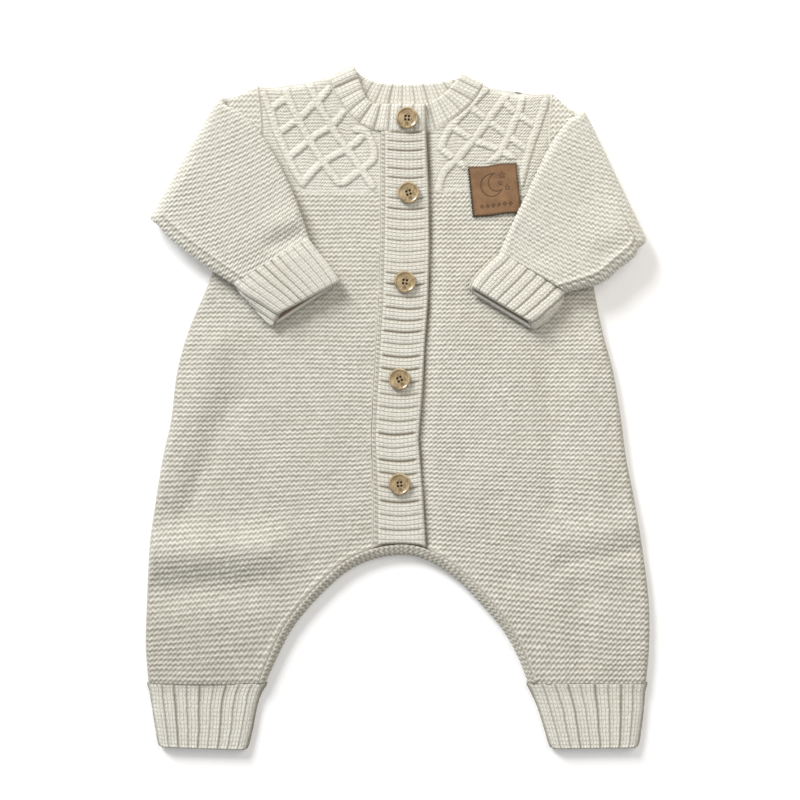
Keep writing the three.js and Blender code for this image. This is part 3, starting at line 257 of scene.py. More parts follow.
def distance_to(line, x, y):
    spots = np.stack([np.ravel(x), np.ravel(y)], 1)
    best = np.full(len(spots), 1e9)
    for a, b in zip(line[:-1], line[1:]):
        run = b - a
        if not run.any():
            continue
        t = np.clip(((spots - a) @ run) / (run @ run), 0, 1)
        away = spots - a - t[:, None] * run
        best = np.minimum(best, (away ** 2).sum(1))
    return np.sqrt(best).reshape(np.shape(x))


def x_at_y(table, y):
    table = np.asarray(table, float)[::-1]
    return np.interp(y, table[:, 1], table[:, 0])


def distance_at_y(points, y):
    reach = reach_of(points)
    return np.interp(-y, -points[:, 1], reach)


def bulge(share):
    return np.sqrt(1 - (1 - np.clip(share, 0, 1)) ** 2)


def outer_bulge(distance):
    return bulge(distance / ROLL)


def inner_bulge(distance):
    return bulge((distance - WALL) / (ROLL - WALL))


def soft_noise(x, y, size, seed):
    """Smooth noise from -1 to 1 with features of that size."""
    table = np.random.default_rng(seed).uniform(-1, 1, (64, 64))
    u = np.asarray(x, float) / size + 1000.37
    v = np.asarray(y, float) / size + 1000.71
    i = np.floor(u).astype(int)
    j = np.floor(v).astype(int)
    s = smooth(u - i)
    t = smooth(v - j)
    low = mix(table[i % 64, j % 64], table[(i + 1) % 64, j % 64], s)
    high = mix(table[i % 64, (j + 1) % 64], table[(i + 1) % 64, (j + 1) % 64], s)
    return mix(low, high, t)


def stitch_noise(row, column, seed):
    """One random value from -1 to 1 for each stitch."""
    table = np.random.default_rng(seed).uniform(-1, 1, (97, 89))
    return table[row.astype(int) % 97, column.astype(int) % 89]


# Closed shells made of rows of points that are stitched row to row

class Shell:
    def __init__(self):
        self.points = []
        self.lifts = []
        self.tones = []
        self.grains = []
        self.faces = []
        self.size = 0

    def row(self, points, lift=0.0, tone=1.0, param=None, shared=None, grain=None):
        points = np.asarray(points, float)
        param = reach_of(points) / reach_of(points)[-1] if param is None else np.asarray(param, float)
        lift = np.broadcast_to(lift, len(points))
        tone = np.broadcast_to(tone, len(points))
        grain = np.zeros((len(points), 3)) if grain is None else grain
        if shared is not None:
            points, lift, tone, grain = points[1:], lift[1:], tone[1:], grain[1:]
        index = np.arange(self.size, self.size + len(points))
        self.points.append(points)
        self.lifts.append(lift)
        self.tones.append(tone)
        self.grains.append(grain)
        self.size += len(points)
        if shared is not None:
            index = np.concatenate([[shared], index])
        return index, param

    def ring(self, points, lift=0.0, tone=1.0, param=None, grain=None):
        index, param = self.row(points, lift, tone, param, grain=grain)
        return np.append(index, index[0]), np.append(param, 2.0)

    def chain(self, index):
        index = np.asarray(index)
        points = np.concatenate(self.points)[index]
        reach = reach_of(points)
        return index, reach / reach[-1]

    def stitch(self, first, second):
        a, s = first
        b, t = second
        first_steps = s[:-1] + s[1:]
        second_steps = t[:-1] + t[1:]
        j = np.searchsorted(second_steps, first_steps, side="left")
        i = np.searchsorted(first_steps, second_steps, side="right")
        self.faces.append(np.stack([a[:-1], a[1:], b[j]], 1))
        self.faces.append(np.stack([a[i], b[1:], b[:-1]], 1))

    def stitch_all(self, rows):
        for first, second in zip(rows[:-1], rows[1:]):
            self.stitch(first, second)

    def fan(self, row):
        index = row[0][:-1]
        middle = index[1:-1]
        self.faces.append(np.stack([np.full(len(middle), index[0]), middle, index[2:]], 1))

    def close(self, outer, lining):
        """Joins the four edges of two sheets of rows."""
        self.stitch_all(outer)
        self.stitch_all(lining)
        self.stitch(self.chain(outer[0][0]), self.chain(lining[0][0]))
        self.stitch(self.chain(outer[-1][0]), self.chain(lining[-1][0]))
        for end in (0, -1):
            self.stitch(self.chain([row[0][end] for row in outer]), self.chain([row[0][end] for row in lining]))

    def piece(self, name, material):
        points = np.concatenate(self.points)
        lift = np.concatenate(self.lifts)
        tone = np.concatenate(self.tones)
        faces = np.concatenate(self.faces)
        whole = (faces[:, 0] != faces[:, 1]) & (faces[:, 1] != faces[:, 2]) & (faces[:, 0] != faces[:, 2])
        mesh = mesh_from(name, points * MM, faces[whole])
        normals = np.zeros(len(points) * 3, np.float32)
        mesh.vertex_normals.foreach_get("vector", normals)
        points = points + normals.reshape(-1, 3) * lift[:, None]
        points[:, 2] = np.maximum(points[:, 2], 0)
        mesh.vertices.foreach_set("co", (points * MM).astype(np.float32).ravel())
        mesh.update()
        colour = mesh.color_attributes.new("tone", "FLOAT_COLOR", "POINT")
        values = np.ones((len(points), 4), np.float32)
        values[:, :3] = np.clip(tone, 0, 1)[:, None]
        colour.data.foreach_set("color", values.ravel())
        grain = mesh.attributes.new("grain", "FLOAT_VECTOR", "POINT")
        grain.data.foreach_set("vector", np.concatenate(self.grains).astype(np.float32).ravel())
        return link_piece(name, mesh, material)


def mesh_from(name, points, faces):
    mesh = bpy.data.meshes.new(name)
    mesh.vertices.add(len(points))
    mesh.vertices.foreach_set("co", points.astype(np.float32).ravel())
    mesh.loops.add(len(faces) * 3)
    mesh.loops.foreach_set("vertex_index", faces.astype(np.int32).ravel())
    mesh.polygons.add(len(faces))
    mesh.polygons.foreach_set("loop_start", np.arange(0, len(faces) * 3, 3, dtype=np.int32))
    mesh.update(calc_edges=True)
    turned = bmesh.new()
    turned.from_mesh(mesh)
    bmesh.ops.recalc_face_normals(turned, faces=turned.faces)
    turned.to_mesh(mesh)
    turned.free()
    mesh.shade_smooth()
    return mesh


def link_piece(name, mesh, material):
    made = bpy.data.objects.new(name, mesh)
    mesh.materials.append(material)
    bpy.context.scene.collection.objects.link(made)
    return made


# Knit relief: each gives a height from 0 in the grooves to 1 on the yarn

def garter(row, column, seed=1):
    """Rows of leaning stitches, 0 in the pits and 1 on the yarn; row and column count stitches."""
    uneven = stitch_noise(np.round(row), np.round(column), seed)
    across = column + 0.16 * soft_noise(row, column, 1.3, seed + 40)
    up = row + 0.10 * soft_noise(column, row, 1.6, seed + 60)
    turn = 2 * math.pi
    waves = STITCH_WAVES["row"] * np.cos(turn * up) + STITCH_WAVES["lean"] * np.cos(turn * (across - up))
    waves = waves + STITCH_WAVES["cross"] * np.cos(turn * (across + up))
    return np.clip(0.5 + 0.5 * waves + 0.13 * uneven + 0.1 * soft_noise(column, row, 0.45, seed + 80), 0, 1)


def stitch_grain(row, column, amount=1.0):
    """Place of each point in stitches, and how strongly the yarn shows them."""
    return np.stack([column + 0 * row, row, np.broadcast_to(amount, np.shape(row))], -1)


def rib_grain(run, across, amount=1.0):
    """Place of each point in columns of rib stitches, and how strongly the yarn shows them."""
    return np.stack([across + 0 * run, run + 0 * across, amount + 0 * run + 0 * across], -1)


def purl(row, column, seed=2):
    """The fine pebbled ground between cables."""
    line = np.floor(row)
    up = row - line
    across = column + 0.5 * (line % 2)
    stitch = np.floor(across)
    w = across - stitch
    bead = np.clip(1.15 - (2 * w - 1) ** 2 - (2 * up - 1) ** 2, 0, 1) ** 0.7
    return bead * (0.85 + 0.15 * stitch_noise(line + 50, stitch + 300, seed))


def plait(run, across):
    """Columns of V stitches: run counts stitches along, across counts columns."""
    column = np.floor(across)
    side = np.abs(2 * (across - column) - 1)
    w = run + 0.45 * side
    w = w - np.floor(w)
    legs = 1 - np.abs(2 * w - 1) ** 2.2
    between = 1 - 0.4 * np.exp(-((1 - side) / 0.3) ** 2)
    return between * (0.75 + 0.25 * legs)


def rib_profile(place, groove=0.13):
    """Flat-topped ribs with narrow grooves at whole numbers."""
    away = np.abs(place - np.round(place))
    return 1 - np.exp(-(away / groove) ** 2)


def groove_depth(place, seed):
    """How deep the groove nearest to each place is, from 0.35 to 1."""
    return 0.68 + 0.32 * stitch_noise(np.round(np.asarray(place)), np.zeros(np.shape(place)), seed)


# Outlines shared by the panels

shoulder_line = {side: smooth_line(SHOULDER[side]) for side in SHOULDER}
armhole_line = {side: smooth_line(ARMHOLE[side]) for side in ARMHOLE}
side_line = {side: smooth_line(SIDE[side]) for side in SIDE}
arch_line = smooth_line(ARCH, 2 * LINE_POINTS)
inwards = {"left": 1, "right": -1}


def arch_half(side):
    apex = int(np.argmax(arch_line[:, 1]))
    return arch_line[:apex + 1][::-1] if side == "left" else arch_line[apex:]


def arch_offset(side, share, distance):
    line = arch_half(side)
    length = reach_of(line)[-1]
    point = along(line, length * share)
    run = along(line, length * share + length / 100) - along(line, length * share - length / 100)
    run = run / np.linalg.norm(run)
    into = np.array([0.0, 1.0]) if share == 0 else np.array([run[1], -run[0]]) * inwards[side]
    into = mix(into, np.array([-1.0, 0.0]) * inwards[side], smooth((share - 0.75) / 0.25))
    return point + into / np.linalg.norm(into) * distance


def arch_seam_depth(share):
    return mix(ARCH_SEAM_DEPTH["crotch"], ARCH_SEAM_DEPTH["ankle"], share)


def outer_edge(side, inset):
    return trimmed(armhole_line[side], inset, inset), shifted(side_line[side], inwards[side] * inset)


def edge_distance(side, x, y):
    return np.minimum(distance_to(shoulder_line[side], x, y), distance_to(side_line[side], x, y))


def folds_at(folds, x, y):
    height = np.zeros(np.shape(x))
    for x1, y1, x2, y2, width, peak in folds:
        share = ((x - x1) * (x2 - x1) + (y - y1) * (y2 - y1)) / ((x2 - x1) ** 2 + (y2 - y1) ** 2)
        nearest = np.clip(share, 0, 1)
        away = np.hypot(x - mix(x1, x2, nearest), y - mix(y1, y2, nearest)) / width
        height = height + peak * np.exp(-(away ** 2))
    return height


def fold_height(x, y):
    return folds_at(FOLDS, x, y)


def sunk_share(side, x, y):
    if side == "left":
        return np.zeros(np.shape(x))
    return 1 - smooth((x - x_at_y(PLACKET_RIGHT, y) - 1) / UNDERLAP_SLOPE)


def front_top(side, x, y):
    return mix(2 * HALF_HEIGHT, UNDERLAP["top"], sunk_share(side, x, y)) + fold_height(x, y)


def front_outer_z(side, x, y, distance):
    return mix(HALF_HEIGHT + SEAM / 2, front_top(side, x, y), outer_bulge(distance))


def front_lining_z(side, x, y):
    top = mix(2 * HALF_HEIGHT - WALL, UNDERLAP["bottom"], sunk_share(side, x, y)) + fold_height(x, y)
    return mix(HALF_HEIGHT + SEAM / 2, top, inner_bulge(edge_distance(side, x, y)))


def back_outer_z(distance):
    return (HALF_HEIGHT - SEAM / 2) * (1 - outer_bulge(distance))


# Front panels

def neck_sewn_edge(side):
    if side == "left":
        stations = [row[2:4] for row in NECK_FRONT_LEFT[1:]] + [NECK_SHOULDER["left"][2:]]
        stations = stations[::-1]
    else:
        stations = [NECK_SHOULDER["right"][2:]] + [row[2:4] for row in NECK_FRONT_RIGHT[:-1]]
    return shifted(smooth_line(stations), NECK_SEAM["front"] * (-1 if side == "left" else 1))


def opening_edge(side):
    table = PLACKET_LEFT if side == "left" else PLACKET_RIGHT
    inset = -CURVED_SEAM if side == "left" else -UNDERLAP_INSET
    return smooth_line([(x + inset, y) for x, y in table])


def front_inner_edge(side, inset):
    opening = opening_edge(side)
    corner = opening[0]
    edge = neck_sewn_edge(side)
    beyond = edge[:, 0] < corner[0] - 1 if side == "left" else edge[:, 0] > corner[0] + 1
    edge = edge[beyond & (edge[:, 1] > corner[1])]
    neck = np.concatenate([shoulder_line[side][:1], edge, [corner]])
    shares = np.linspace(LEG_START, 1, 60)
    leg = np.array([arch_offset(side, s, arch_seam_depth(s) + PANEL_GAP) for s in shares])
    return trimmed(neck, inset, 0), opening, leg


def ruled_ends(inner, inner_span, outer, outer_span, count):
    """Row ends that step evenly along two lines, both ends included."""
    share = np.linspace(0, 1, count + 1)
    return list(zip(along(inner, mix(*inner_span, share)), along(outer, mix(*outer_span, share))))


def shoulder_dip(side, share):
    """How far the shoulder's edge lies above the straight line between its ends."""
    line = shoulder_line[side]
    order = np.argsort(line[:, 0])
    straight = mix(line[0], line[-1], share[:, None])
    return np.interp(straight[:, 0], line[order, 0], line[order, 1]) - straight[:, 1]


def yoke_ends(side, inset, count):
    neck, opening, _ = front_inner_edge(side, inset)
    armhole, _ = outer_edge(side, inset)
    inner = np.concatenate([neck, opening[1:]])
    inner_end = reach_of(neck)[-1] + distance_at_y(opening, YOKE_END_Y)
    return ruled_ends(inner, (0, inner_end), armhole, (0, distance_at_y(armhole, YOKE_END_Y)), count)


def crossing(line, level, tilt, centre):
    """Where a line meets y = level + tilt * (x - centre)."""
    height = line[:, 1] - tilt * (line[:, 0] - centre)
    order = np.minimum.accumulate(height)
    return np.array([np.interp(-level, -order, line[:, i]) for i in (0, 1)])


def body_ends(side):
    """Ends of the knitted rows below the yoke, with each row's count of stitches."""
    _, opening, leg = front_inner_edge(side, 0)
    armhole, flank = outer_edge(side, 0)
    inner = np.concatenate([opening, leg])
    outer = np.concatenate([armhole, flank[1:]])
    centre = -140 if side == "left" else 140
    end_tilt = (inner[-1, 1] - outer[-1, 1]) / (inner[-1, 0] - outer[-1, 0])
    end_level = outer[-1, 1] - end_tilt * (outer[-1, 0] - centre)
    levels = [YOKE_END_Y]
    while levels[-1] > end_level + 0.6:
        pitch = mix(STITCH["torso"], STITCH["leg"], smooth((50 - levels[-1]) / 230))
        levels.append(levels[-1] - pitch / STITCH["rows"])
    levels = np.interp(np.linspace(0, 1, len(levels)), [0, 1], [0, 1]) * 0 + np.array(levels)
    levels = YOKE_END_Y + (levels - YOKE_END_Y) * (end_level - YOKE_END_Y) / (levels[-1] - YOKE_END_Y)
    ends = []
    for i, level in enumerate(levels):
        lean = ROW_TILT * inwards[side] * smooth((10 - level) / 140)
        tilt = mix(lean, end_tilt, smooth((-160 - level) / 41))
        ends.append((crossing(inner, level, tilt, centre), crossing(outer, level, tilt, centre), -i / STITCH["rows"]))
    ends[-1] = (inner[-1], outer[-1], ends[-1][2])
    return ends


EDGE_STEPS = np.array([1.5, 0.75, 0.22, 0.0])


def body_row(inner, outer):
    """Places from the inner to the outer end, on whole fractions of a stitch."""
    step = STITCH["width"] / STITCH["columns"]
    way = 1 if outer[0] > inner[0] else -1
    first = math.floor(way * inner[0] / step + 1.35)
    last = math.ceil((way * outer[0] - EDGE_STEPS[0]) / step - 0.35)
    x = np.concatenate([[inner[0]], way * step * np.arange(first, last), outer[0] - way * EDGE_STEPS])
    y = inner[1] + (outer[1] - inner[1]) * (x - inner[0]) / (outer[0] - inner[0])
    return x, y


def cable_relief(side, x, y):
    """Height of the raised strands, and the shade beside them."""
    height = np.zeros(np.shape(x))
    over = np.full(np.shape(x), 99.0)
    near = np.full(np.shape(x), 99.0)
    for number, strand in enumerate(CABLES[side]):
        line = smooth_line(strand, 5 * len(strand))
        away = distance_to(line, x, y) * (1 + 0.12 * soft_noise(x, y, 4, 40 + number))
        run = (x * (line[-1, 0] - line[0, 0]) + y * (line[-1, 1] - line[0, 1])) / np.linalg.norm(line[-1] - line[0])
        dome = np.sqrt(np.clip(1 - (away / CABLE["half_width"]) ** 2, 0, 1))
        twist = 1 - 0.2 * (0.5 + 0.5 * np.cos(2 * np.pi * (run / 3.2 + away / 6))) * dome
        if number < CABLE["over"]:
            over = np.minimum(over, away)
            height = np.maximum(height, 0.85 * dome * twist)
        else:
            height = np.maximum(height, dome * twist * smooth((over - 1.4) / 2.2))
        near = np.minimum(near, away)
    u, v = patch_place(x, y)
    clear = np.maximum(np.abs(u) - PATCH["width"] / 2, np.abs(v) - PATCH["height"] / 2)
    shown = smooth((clear - 0.5) / 3) if side == "right" else 1.0
    shade = np.exp(-((near - CABLE["half_width"] - 0.2) / 0.8) ** 2)
    return height * shown, shade * shown


def patch_place(x, y):
    """Place on the patch, from its middle and in its own directions."""
    turn = math.radians(PATCH["turn"])
    c, s = math.cos(turn), math.sin(turn)
    return (x - PATCH["x"]) * c + (y - PATCH["y"]) * s, (y - PATCH["y"]) * c - (x - PATCH["x"]) * s


def front_relief(side, x, y, row, column, distance):
    """Lift along the surface, tone and grain of the front's visible side."""
    wander = soft_noise(x, y, 34, 5)
    column = column + 0.3 * soft_noise(x, y, 26, 6) + 0.12 * soft_noise(x, y, 7, 16)
    row = row + 0.10 * wander
    stitches = garter(row, column)
    yoke = smooth((y - YOKE_END_Y + 1 - 2 * soft_noise(x, y, 12, 24)) / 7)
    ground_row = y / 2.4 + 0.25 * wander + 0.2 * soft_noise(x, y, 5, 17)
    ground_column = x / 2.1 + 0.6 * soft_noise(x, y, 9, 15)
    ground = garter(ground_row, ground_column, 4)
    cables, shade = cable_relief(side, x, y)
    amplitude = mix(0.6, 0.85, smooth((150 - y) / 90)) + 0.15 * smooth((0 - y) / 120)
    amplitude = amplitude * (1 + 0.25 * soft_noise(x, y, 15, 18))
    plain = amplitude * 0.97 * (stitches - 0.62)
    fuzz = 0.16 * soft_noise(x, y, 1.1, 19) * (1 + 0.6 * cables)
    dressed = 0.5 * (ground - 0.5) * (1 - cables) - 0.3 + CABLE["height"] * cables - 0.15 * shade + fuzz
    lift = mix(plain, dressed, yoke)
    # Tone is painted shade: darker in the stitches' pits and beside the cables, lighter on the raised strands
    tone = mix(0.55 + 0.45 * stitches, np.maximum(0.75 + 0.25 * ground, cables) * (1 - 0.2 * shade), yoke)
    upper = yoke > 0.5
    amount = np.where(upper, 0.75 * (1 - 0.7 * cables), 1.0) * smooth(np.abs(yoke - 0.5) / 0.4 + 0.1)
    grain = np.where(upper[:, None], stitch_grain(ground_row, ground_column, amount),
                     stitch_grain(row, column, amount))
    # Painted shade: the legs darker towards their hems, the yokes a little darker
    tone = tone * (1 - LEG_SHADE[side] * smooth((-110 - y) / 60)) * mix(1, YOKE_SHADE[side], yoke)
    # Painted shade in the cleft beside the placket, whose surface also sinks there
    hidden = opening_shade(side, x, y)
    return lift - 0.7 * hidden, tone * (1 - hidden), grain


# Painted shade: how much darker the legs get towards their hems, and how light the yokes stay
LEG_SHADE = {"left": 0.11, "right": 0.05}
YOKE_SHADE = {"left": 0.98, "right": 0.93}


def opening_shade(side, x, y):
    """How dark the painted shade in the cleft beside the placket is."""
    if side == "left":
        return np.zeros(np.shape(x))
    gap = np.maximum(x - x_at_y(PLACKET_RIGHT, y), 0)
    wide = 1.3 + 1.6 * smooth((y - 110) / 40) + 0.5 * soft_noise(0 * y, y, 13, 22)
    deep = 0.55 + 0.35 * soft_noise(0 * y, y, 21, 23)
    return deep * np.exp(-(gap / wide) ** 2)


def sheet_noise(x, y):
    """Broad unevenness of cloth that lies loosely."""
    return 0.55 * soft_noise(x, y, 62, 11) + 0.3 * soft_noise(x, y, 27, 12)


def front_panel(side):
    shell = Shell()
    columns = 128
    rows = []
    ends = yoke_ends(side, 0, 142)
    first = [(mix(ends[0][0], ends[1][0], s), mix(ends[0][1], ends[1][1], s)) for s in (0.2, 0.55)]
    for inner, outer in [ends[0], *first, *ends[1:]]:
        width = np.linalg.norm(outer - inner)
        share = np.concatenate([np.linspace(0, 1 - 2.2 / width, columns), 1 - EDGE_STEPS / width])
        x, y = mix(inner[0], outer[0], share), mix(inner[1], outer[1], share)
        y = y + shoulder_dip(side, share) * (1 - smooth(len(rows) / 60))
        rows.append((x, y, share, (y - YOKE_END_Y) / STITCH["torso"]))
    yoke_count = len(rows)
    for inner, outer, count in body_ends(side)[1:]:
        x, y = body_row(inner, outer)
        rows.append((x, y, np.abs(x), np.full(len(x), count)))
    x, y, _, row = (np.concatenate([r[i] for r in rows]) for i in range(4))
    distance = edge_distance(side, x, y)
    seam = np.minimum(distance, distance_to(armhole_line[side], x, y))
    neck, opening, leg = front_inner_edge(side, 0)
    inner_away = distance_to(np.concatenate([neck, opening[::6]]), x, y)
    arch_away = distance_to(leg[::3], x, y)
    away = np.minimum(np.minimum(seam, inner_away), arch_away)
    fade = smooth(away / 1.6)
    z = front_outer_z(side, x, y, distance)
    lift, tone, grain = front_relief(side, x, y, row, x / STITCH["width"], distance)
    armhole_away = distance_to(armhole_line[side], x, y)
    groove = -0.7 * np.exp(-(armhole_away / 1.8) ** 2)
    welt = seam_rope(arch_away - 1.9, x + y)
    lift = lift * fade * (1 - 0.8 * welt) + (groove + 0.9 * welt) * smooth(away / 0.8)
    z = z + sheet_noise(x, y) * smooth(away / 25)
    sway = smooth(away / 8)
    moved_x = x + 0.5 * sway * soft_noise(x, y, 21, 7)
    moved_y = y + 0.6 * sway * soft_noise(x, y, 24, 8)
    # Painted shade: darker along the seams and edges, and along the rolled outer edges below the shoulders
    tone = mix(0.8, tone, fade) * (1 - 0.15 * np.exp(-(away / 1.3) ** 2))
    tone = tone * (1 - 0.22 * np.exp(-(distance / 3) ** 2) * smooth((200 - y) / 40))
    grain[:, 2] = grain[:, 2] * fade
    points = np.stack([moved_x, moved_y, z], 1)
    outer_rows = []
    start = 0
    for i, (rx, _, param, _) in enumerate(rows):
        span = slice(start, start + len(rx))
        outer_rows.append(shell.row(points[span], lift[span], tone[span], param, grain=grain[span]))
        start += len(rx)
    lining = lining_rows(side)
    lined = [shell.row(row) for row in lining]
    joined = outer_rows[yoke_count - 1]
    as_body = (joined[0], np.abs(rows[yoke_count - 1][0]))
    shell.stitch_all(outer_rows[:yoke_count])
    shell.stitch(as_body, outer_rows[yoke_count])
    shell.stitch_all(outer_rows[yoke_count:])
    shell.stitch_all(lined)
    shell.stitch(shell.chain(outer_rows[0][0]), shell.chain(lined[0][0]))
    shell.stitch(shell.chain(outer_rows[-1][0]), shell.chain(lined[-1][0]))
    for end in (0, -1):
        shell.stitch(shell.chain([row[0][end] for row in outer_rows]), shell.chain([row[0][end] for row in lined]))
    return shell.piece(f"front_{side}_knit", knit)


def seam_rope(away, run):
    """A rope-like line of stitches, 0 to 1."""
    return np.exp(-(away / 1.15) ** 2) * (0.8 + 0.2 * np.cos(2 * np.pi * run / 3.2))


def lining_rows(side):
    """Inside of a front panel, coarse because it doesn't show."""
    neck, opening, leg = front_inner_edge(side, WALL)
    armhole, flank = outer_edge(side, WALL)
    ends = yoke_ends(side, WALL, 14)
    open_start, open_low = (distance_at_y(opening, y) for y in (YOKE_END_Y, UNDERARM_Y))
    arm_start = distance_at_y(armhole, YOKE_END_Y)
    ends += ruled_ends(opening, (open_start, open_low), armhole, (arm_start, reach_of(armhole)[-1]), 5)[1:]
    flank_low = distance_at_y(flank, CROTCH_SIDE_Y)
    ends += ruled_ends(opening, (open_low, reach_of(opening)[-1]), flank, (0, flank_low), 20)[1:]
    ends += ruled_ends(leg, (0, reach_of(leg)[-1]), flank, (flank_low, reach_of(flank)[-1]), 16)
    rows = []
    for inner, outer in ends:
        width = np.linalg.norm(outer - inner)
        share = np.concatenate([np.linspace(0, 1 - 4 / width, 9), 1 - np.array([2.4, 0.8, 0]) / width])
        x, y = (mix(inner[i], outer[i], share) for i in (0, 1))
        rows.append(np.stack([x, y, front_lining_z(side, x, y)], 1))
    return rows


# Back panel: one wall for both legs, which wraps round the edge of the arch between them

BACK_ROWS = {"neck": 42, "armhole": 72, "torso": 156, "leg": 110}
BACK_LINING_ROWS = {"neck": 7, "armhole": 6, "torso": 10, "leg": 12}
WRAP_STEPS = np.array([0, 0.2, 0.7, 1.5, 2.5, 3.7, ROLL])


def back_neck_edge(side):
    stations = [NECK_SHOULDER["left"][2:]] + [row[2:4] for row in NECK_BACK] + [NECK_SHOULDER["right"][2:]]
    edge = shifted(smooth_line(stations), -NECK_SEAM["back"])
    lowest = edge[np.argmin(np.abs(edge[:, 0] - CENTRE_X))]
    middle = np.array([CENTRE_X, lowest[1]])
    corner = shoulder_line[side][0]
    if side == "left":
        mine = edge[(edge[:, 0] > corner[0] + 3) & (edge[:, 0] < CENTRE_X - 1)]
    else:
        mine = edge[(edge[:, 0] < corner[0] - 3) & (edge[:, 0] > CENTRE_X + 1)][::-1]
    return np.concatenate([[corner], mine, [middle]])


def back_row_ends(side, inset, counts):
    armhole, flank = outer_edge(side, inset)
    neck = trimmed(back_neck_edge(side), inset, 0)
    arm = reach_of(armhole)[-1]
    split = arm * BACK_ARMHOLE_SHARE
    ends = ruled_ends(neck, (0, reach_of(neck)[-1]), armhole, (0, split), counts["neck"])
    middle = np.array([neck[-1], [CENTRE_X, UNDERARM_Y]])
    ends += ruled_ends(middle, (0, reach_of(middle)[-1]), armhole, (split, arm), counts["armhole"])[1:]
    crotch = arch_offset(side, 0, ROLL)
    middle = np.array([[CENTRE_X, UNDERARM_Y], crotch])
    flank_low = distance_at_y(flank, CROTCH_SIDE_Y)
    ends += ruled_ends(middle, (0, reach_of(middle)[-1]), flank, (0, flank_low), counts["torso"])[1:]
    shares = np.linspace(0, 1, counts["leg"] + 1)[1:]
    outer = along(flank, mix(flank_low, reach_of(flank)[-1], shares))
    ends += [(arch_offset(side, s, ROLL), end) for s, end in zip(shares, outer)]
    return ends


def wrap_profile(side, share, lining):
    steps = mix(WALL, ROLL, WRAP_STEPS[::2] / ROLL) if lining else WRAP_STEPS
    reach = HALF_HEIGHT - WALL if lining else HALF_HEIGHT
    rise = inner_bulge if lining else outer_bulge
    depth = arch_seam_depth(share)
    beyond = np.linspace(ROLL, depth, 3 if lining else 5)[1:]
    places = np.concatenate([steps[::-1], steps[1:], beyond])
    heights = np.concatenate([HALF_HEIGHT - reach * rise(steps[::-1]), HALF_HEIGHT + reach * rise(steps[1:]),
                              np.full(len(beyond), HALF_HEIGHT + reach)])
    points = np.array([[*arch_offset(side, share, d), z] for d, z in zip(places, heights)])
    return points, places


def back_half(shell, side, lining, middle=None):
    inset = WALL if lining else 0
    counts = BACK_LINING_ROWS if lining else BACK_ROWS
    step = 14 if lining else BACK_STITCH["width"] / BACK_STITCH["samples"]
    ends = back_row_ends(side, inset, counts)
    if not lining:
        between = [(mix(ends[0][0], ends[1][0], s), mix(ends[0][1], ends[1][1], s)) for s in (0.15, 0.5)]
        ends = [ends[0], *between, *ends[1:]]
    neck_end = counts["neck"] + (0 if lining else 2)
    crotch = neck_end + counts["armhole"] + counts["torso"]
    flats = []
    count = 0.0
    for i, (inner, outer) in enumerate(ends):
        if i:
            before = ends[i - 1]
            count += np.linalg.norm(inner + outer - before[0] - before[1]) / 2 / BACK_STITCH["height"]
        width = np.linalg.norm(outer - inner)
        places = np.arange(0, width - 2.3, step)
        edge = mix(WALL, ROLL, EDGE_STEPS / ROLL) * 0 + EDGE_STEPS
        places = np.concatenate([places, width - edge])
        share = places / width
        y = mix(inner[1], outer[1], share) + shoulder_dip(side, share) * (1 - smooth(i / neck_end))
        flats.append((mix(inner[0], outer[0], share), y, places, np.full(len(share), -count)))
    x, y, place, row = (np.concatenate([f[i] for f in flats]) for i in range(4))
    distance = edge_distance(side, x, y)
    if lining:
        z = mix(HALF_HEIGHT - SEAM / 2, WALL, inner_bulge(distance))
        lift, tone, grain = np.zeros(len(x)), np.ones(len(x)), np.zeros((len(x), 3))
    else:
        z = back_outer_z(distance)
        away = np.minimum(distance, distance_to(armhole_line[side], x, y))
        away = np.minimum(away, distance_to(back_neck_edge(side)[::4], x, y))
        fade = smooth(away / 1.5)
        column = inwards[side] * (x - CENTRE_X) / BACK_STITCH["width"] + 0.2 * soft_noise(x, y, 26, 9)
        stitches = garter(row, column)
        lift = 0.85 * (stitches - 1) * fade
        # Painted shade in the stitches' pits
        tone = mix(0.8, 0.35 + 0.65 * stitches, fade)
        grain = stitch_grain(row, column, fade)
    points = np.stack([x, y, z], 1)
    rows = []
    start = 0
    for i, flat in enumerate(flats):
        span = slice(start, start + len(flat[0]))
        shared = middle["rows"][i] if middle and neck_end <= i <= crotch else None
        rows.append(shell.row(points[span], lift[span], tone[span], flat[2], shared, grain[span]))
        start += len(flat[0])
    shell.stitch_all(rows)
    wraps = []
    arch_length = reach_of(arch_half(side))[-1]
    for i, row in enumerate(rows[crotch:]):
        if middle and i == 0:
            wraps.append(middle["wrap"])
            continue
        share = i / counts["leg"]
        profile, places = wrap_profile(side, share, lining)
        reach = reach_of(profile)
        if lining:
            lift, tone, grain = 0, 1, None
        else:
            row_count = np.full(len(reach), share * arch_length / 3.5)
            stitches = garter(row_count, reach / 3.2)
            grain = stitch_grain(row_count, reach / 3.2)
            inside = smooth((reach[-1] - reach) / 1.6)
            welt = seam_rope(reach[-1] - reach - 1.6, share * arch_length)
            lift = 0.7 * (stitches - 0.7) * inside * (1 - welt) + 0.7 * welt * smooth((reach[-1] - reach) / 0.8)
            lift = lift * smooth(reach / 1.5)
            # Painted shade in the pits and along the seam where the wrap meets the front
            tone = mix(0.8, 0.36 + 0.54 * stitches, inside) * (1 - 0.2 * np.exp(-((reach[-1] - reach) / 1.2) ** 2))
        wraps.append(shell.row(profile, lift, tone, None, row[0][0], grain))
    shell.stitch_all(wraps)
    edges = [
        rows[0][0],
        np.array([row[0][0] for row in rows[:neck_end + 1]]),
        np.array([row[0][-1] for row in rows]),
        rows[-1][0],
        wraps[-1][0],
        np.array([row[0][-1] for row in wraps]),
    ]
    return {"rows": [row[0][0] for row in rows], "wrap": wraps[0]}, edges


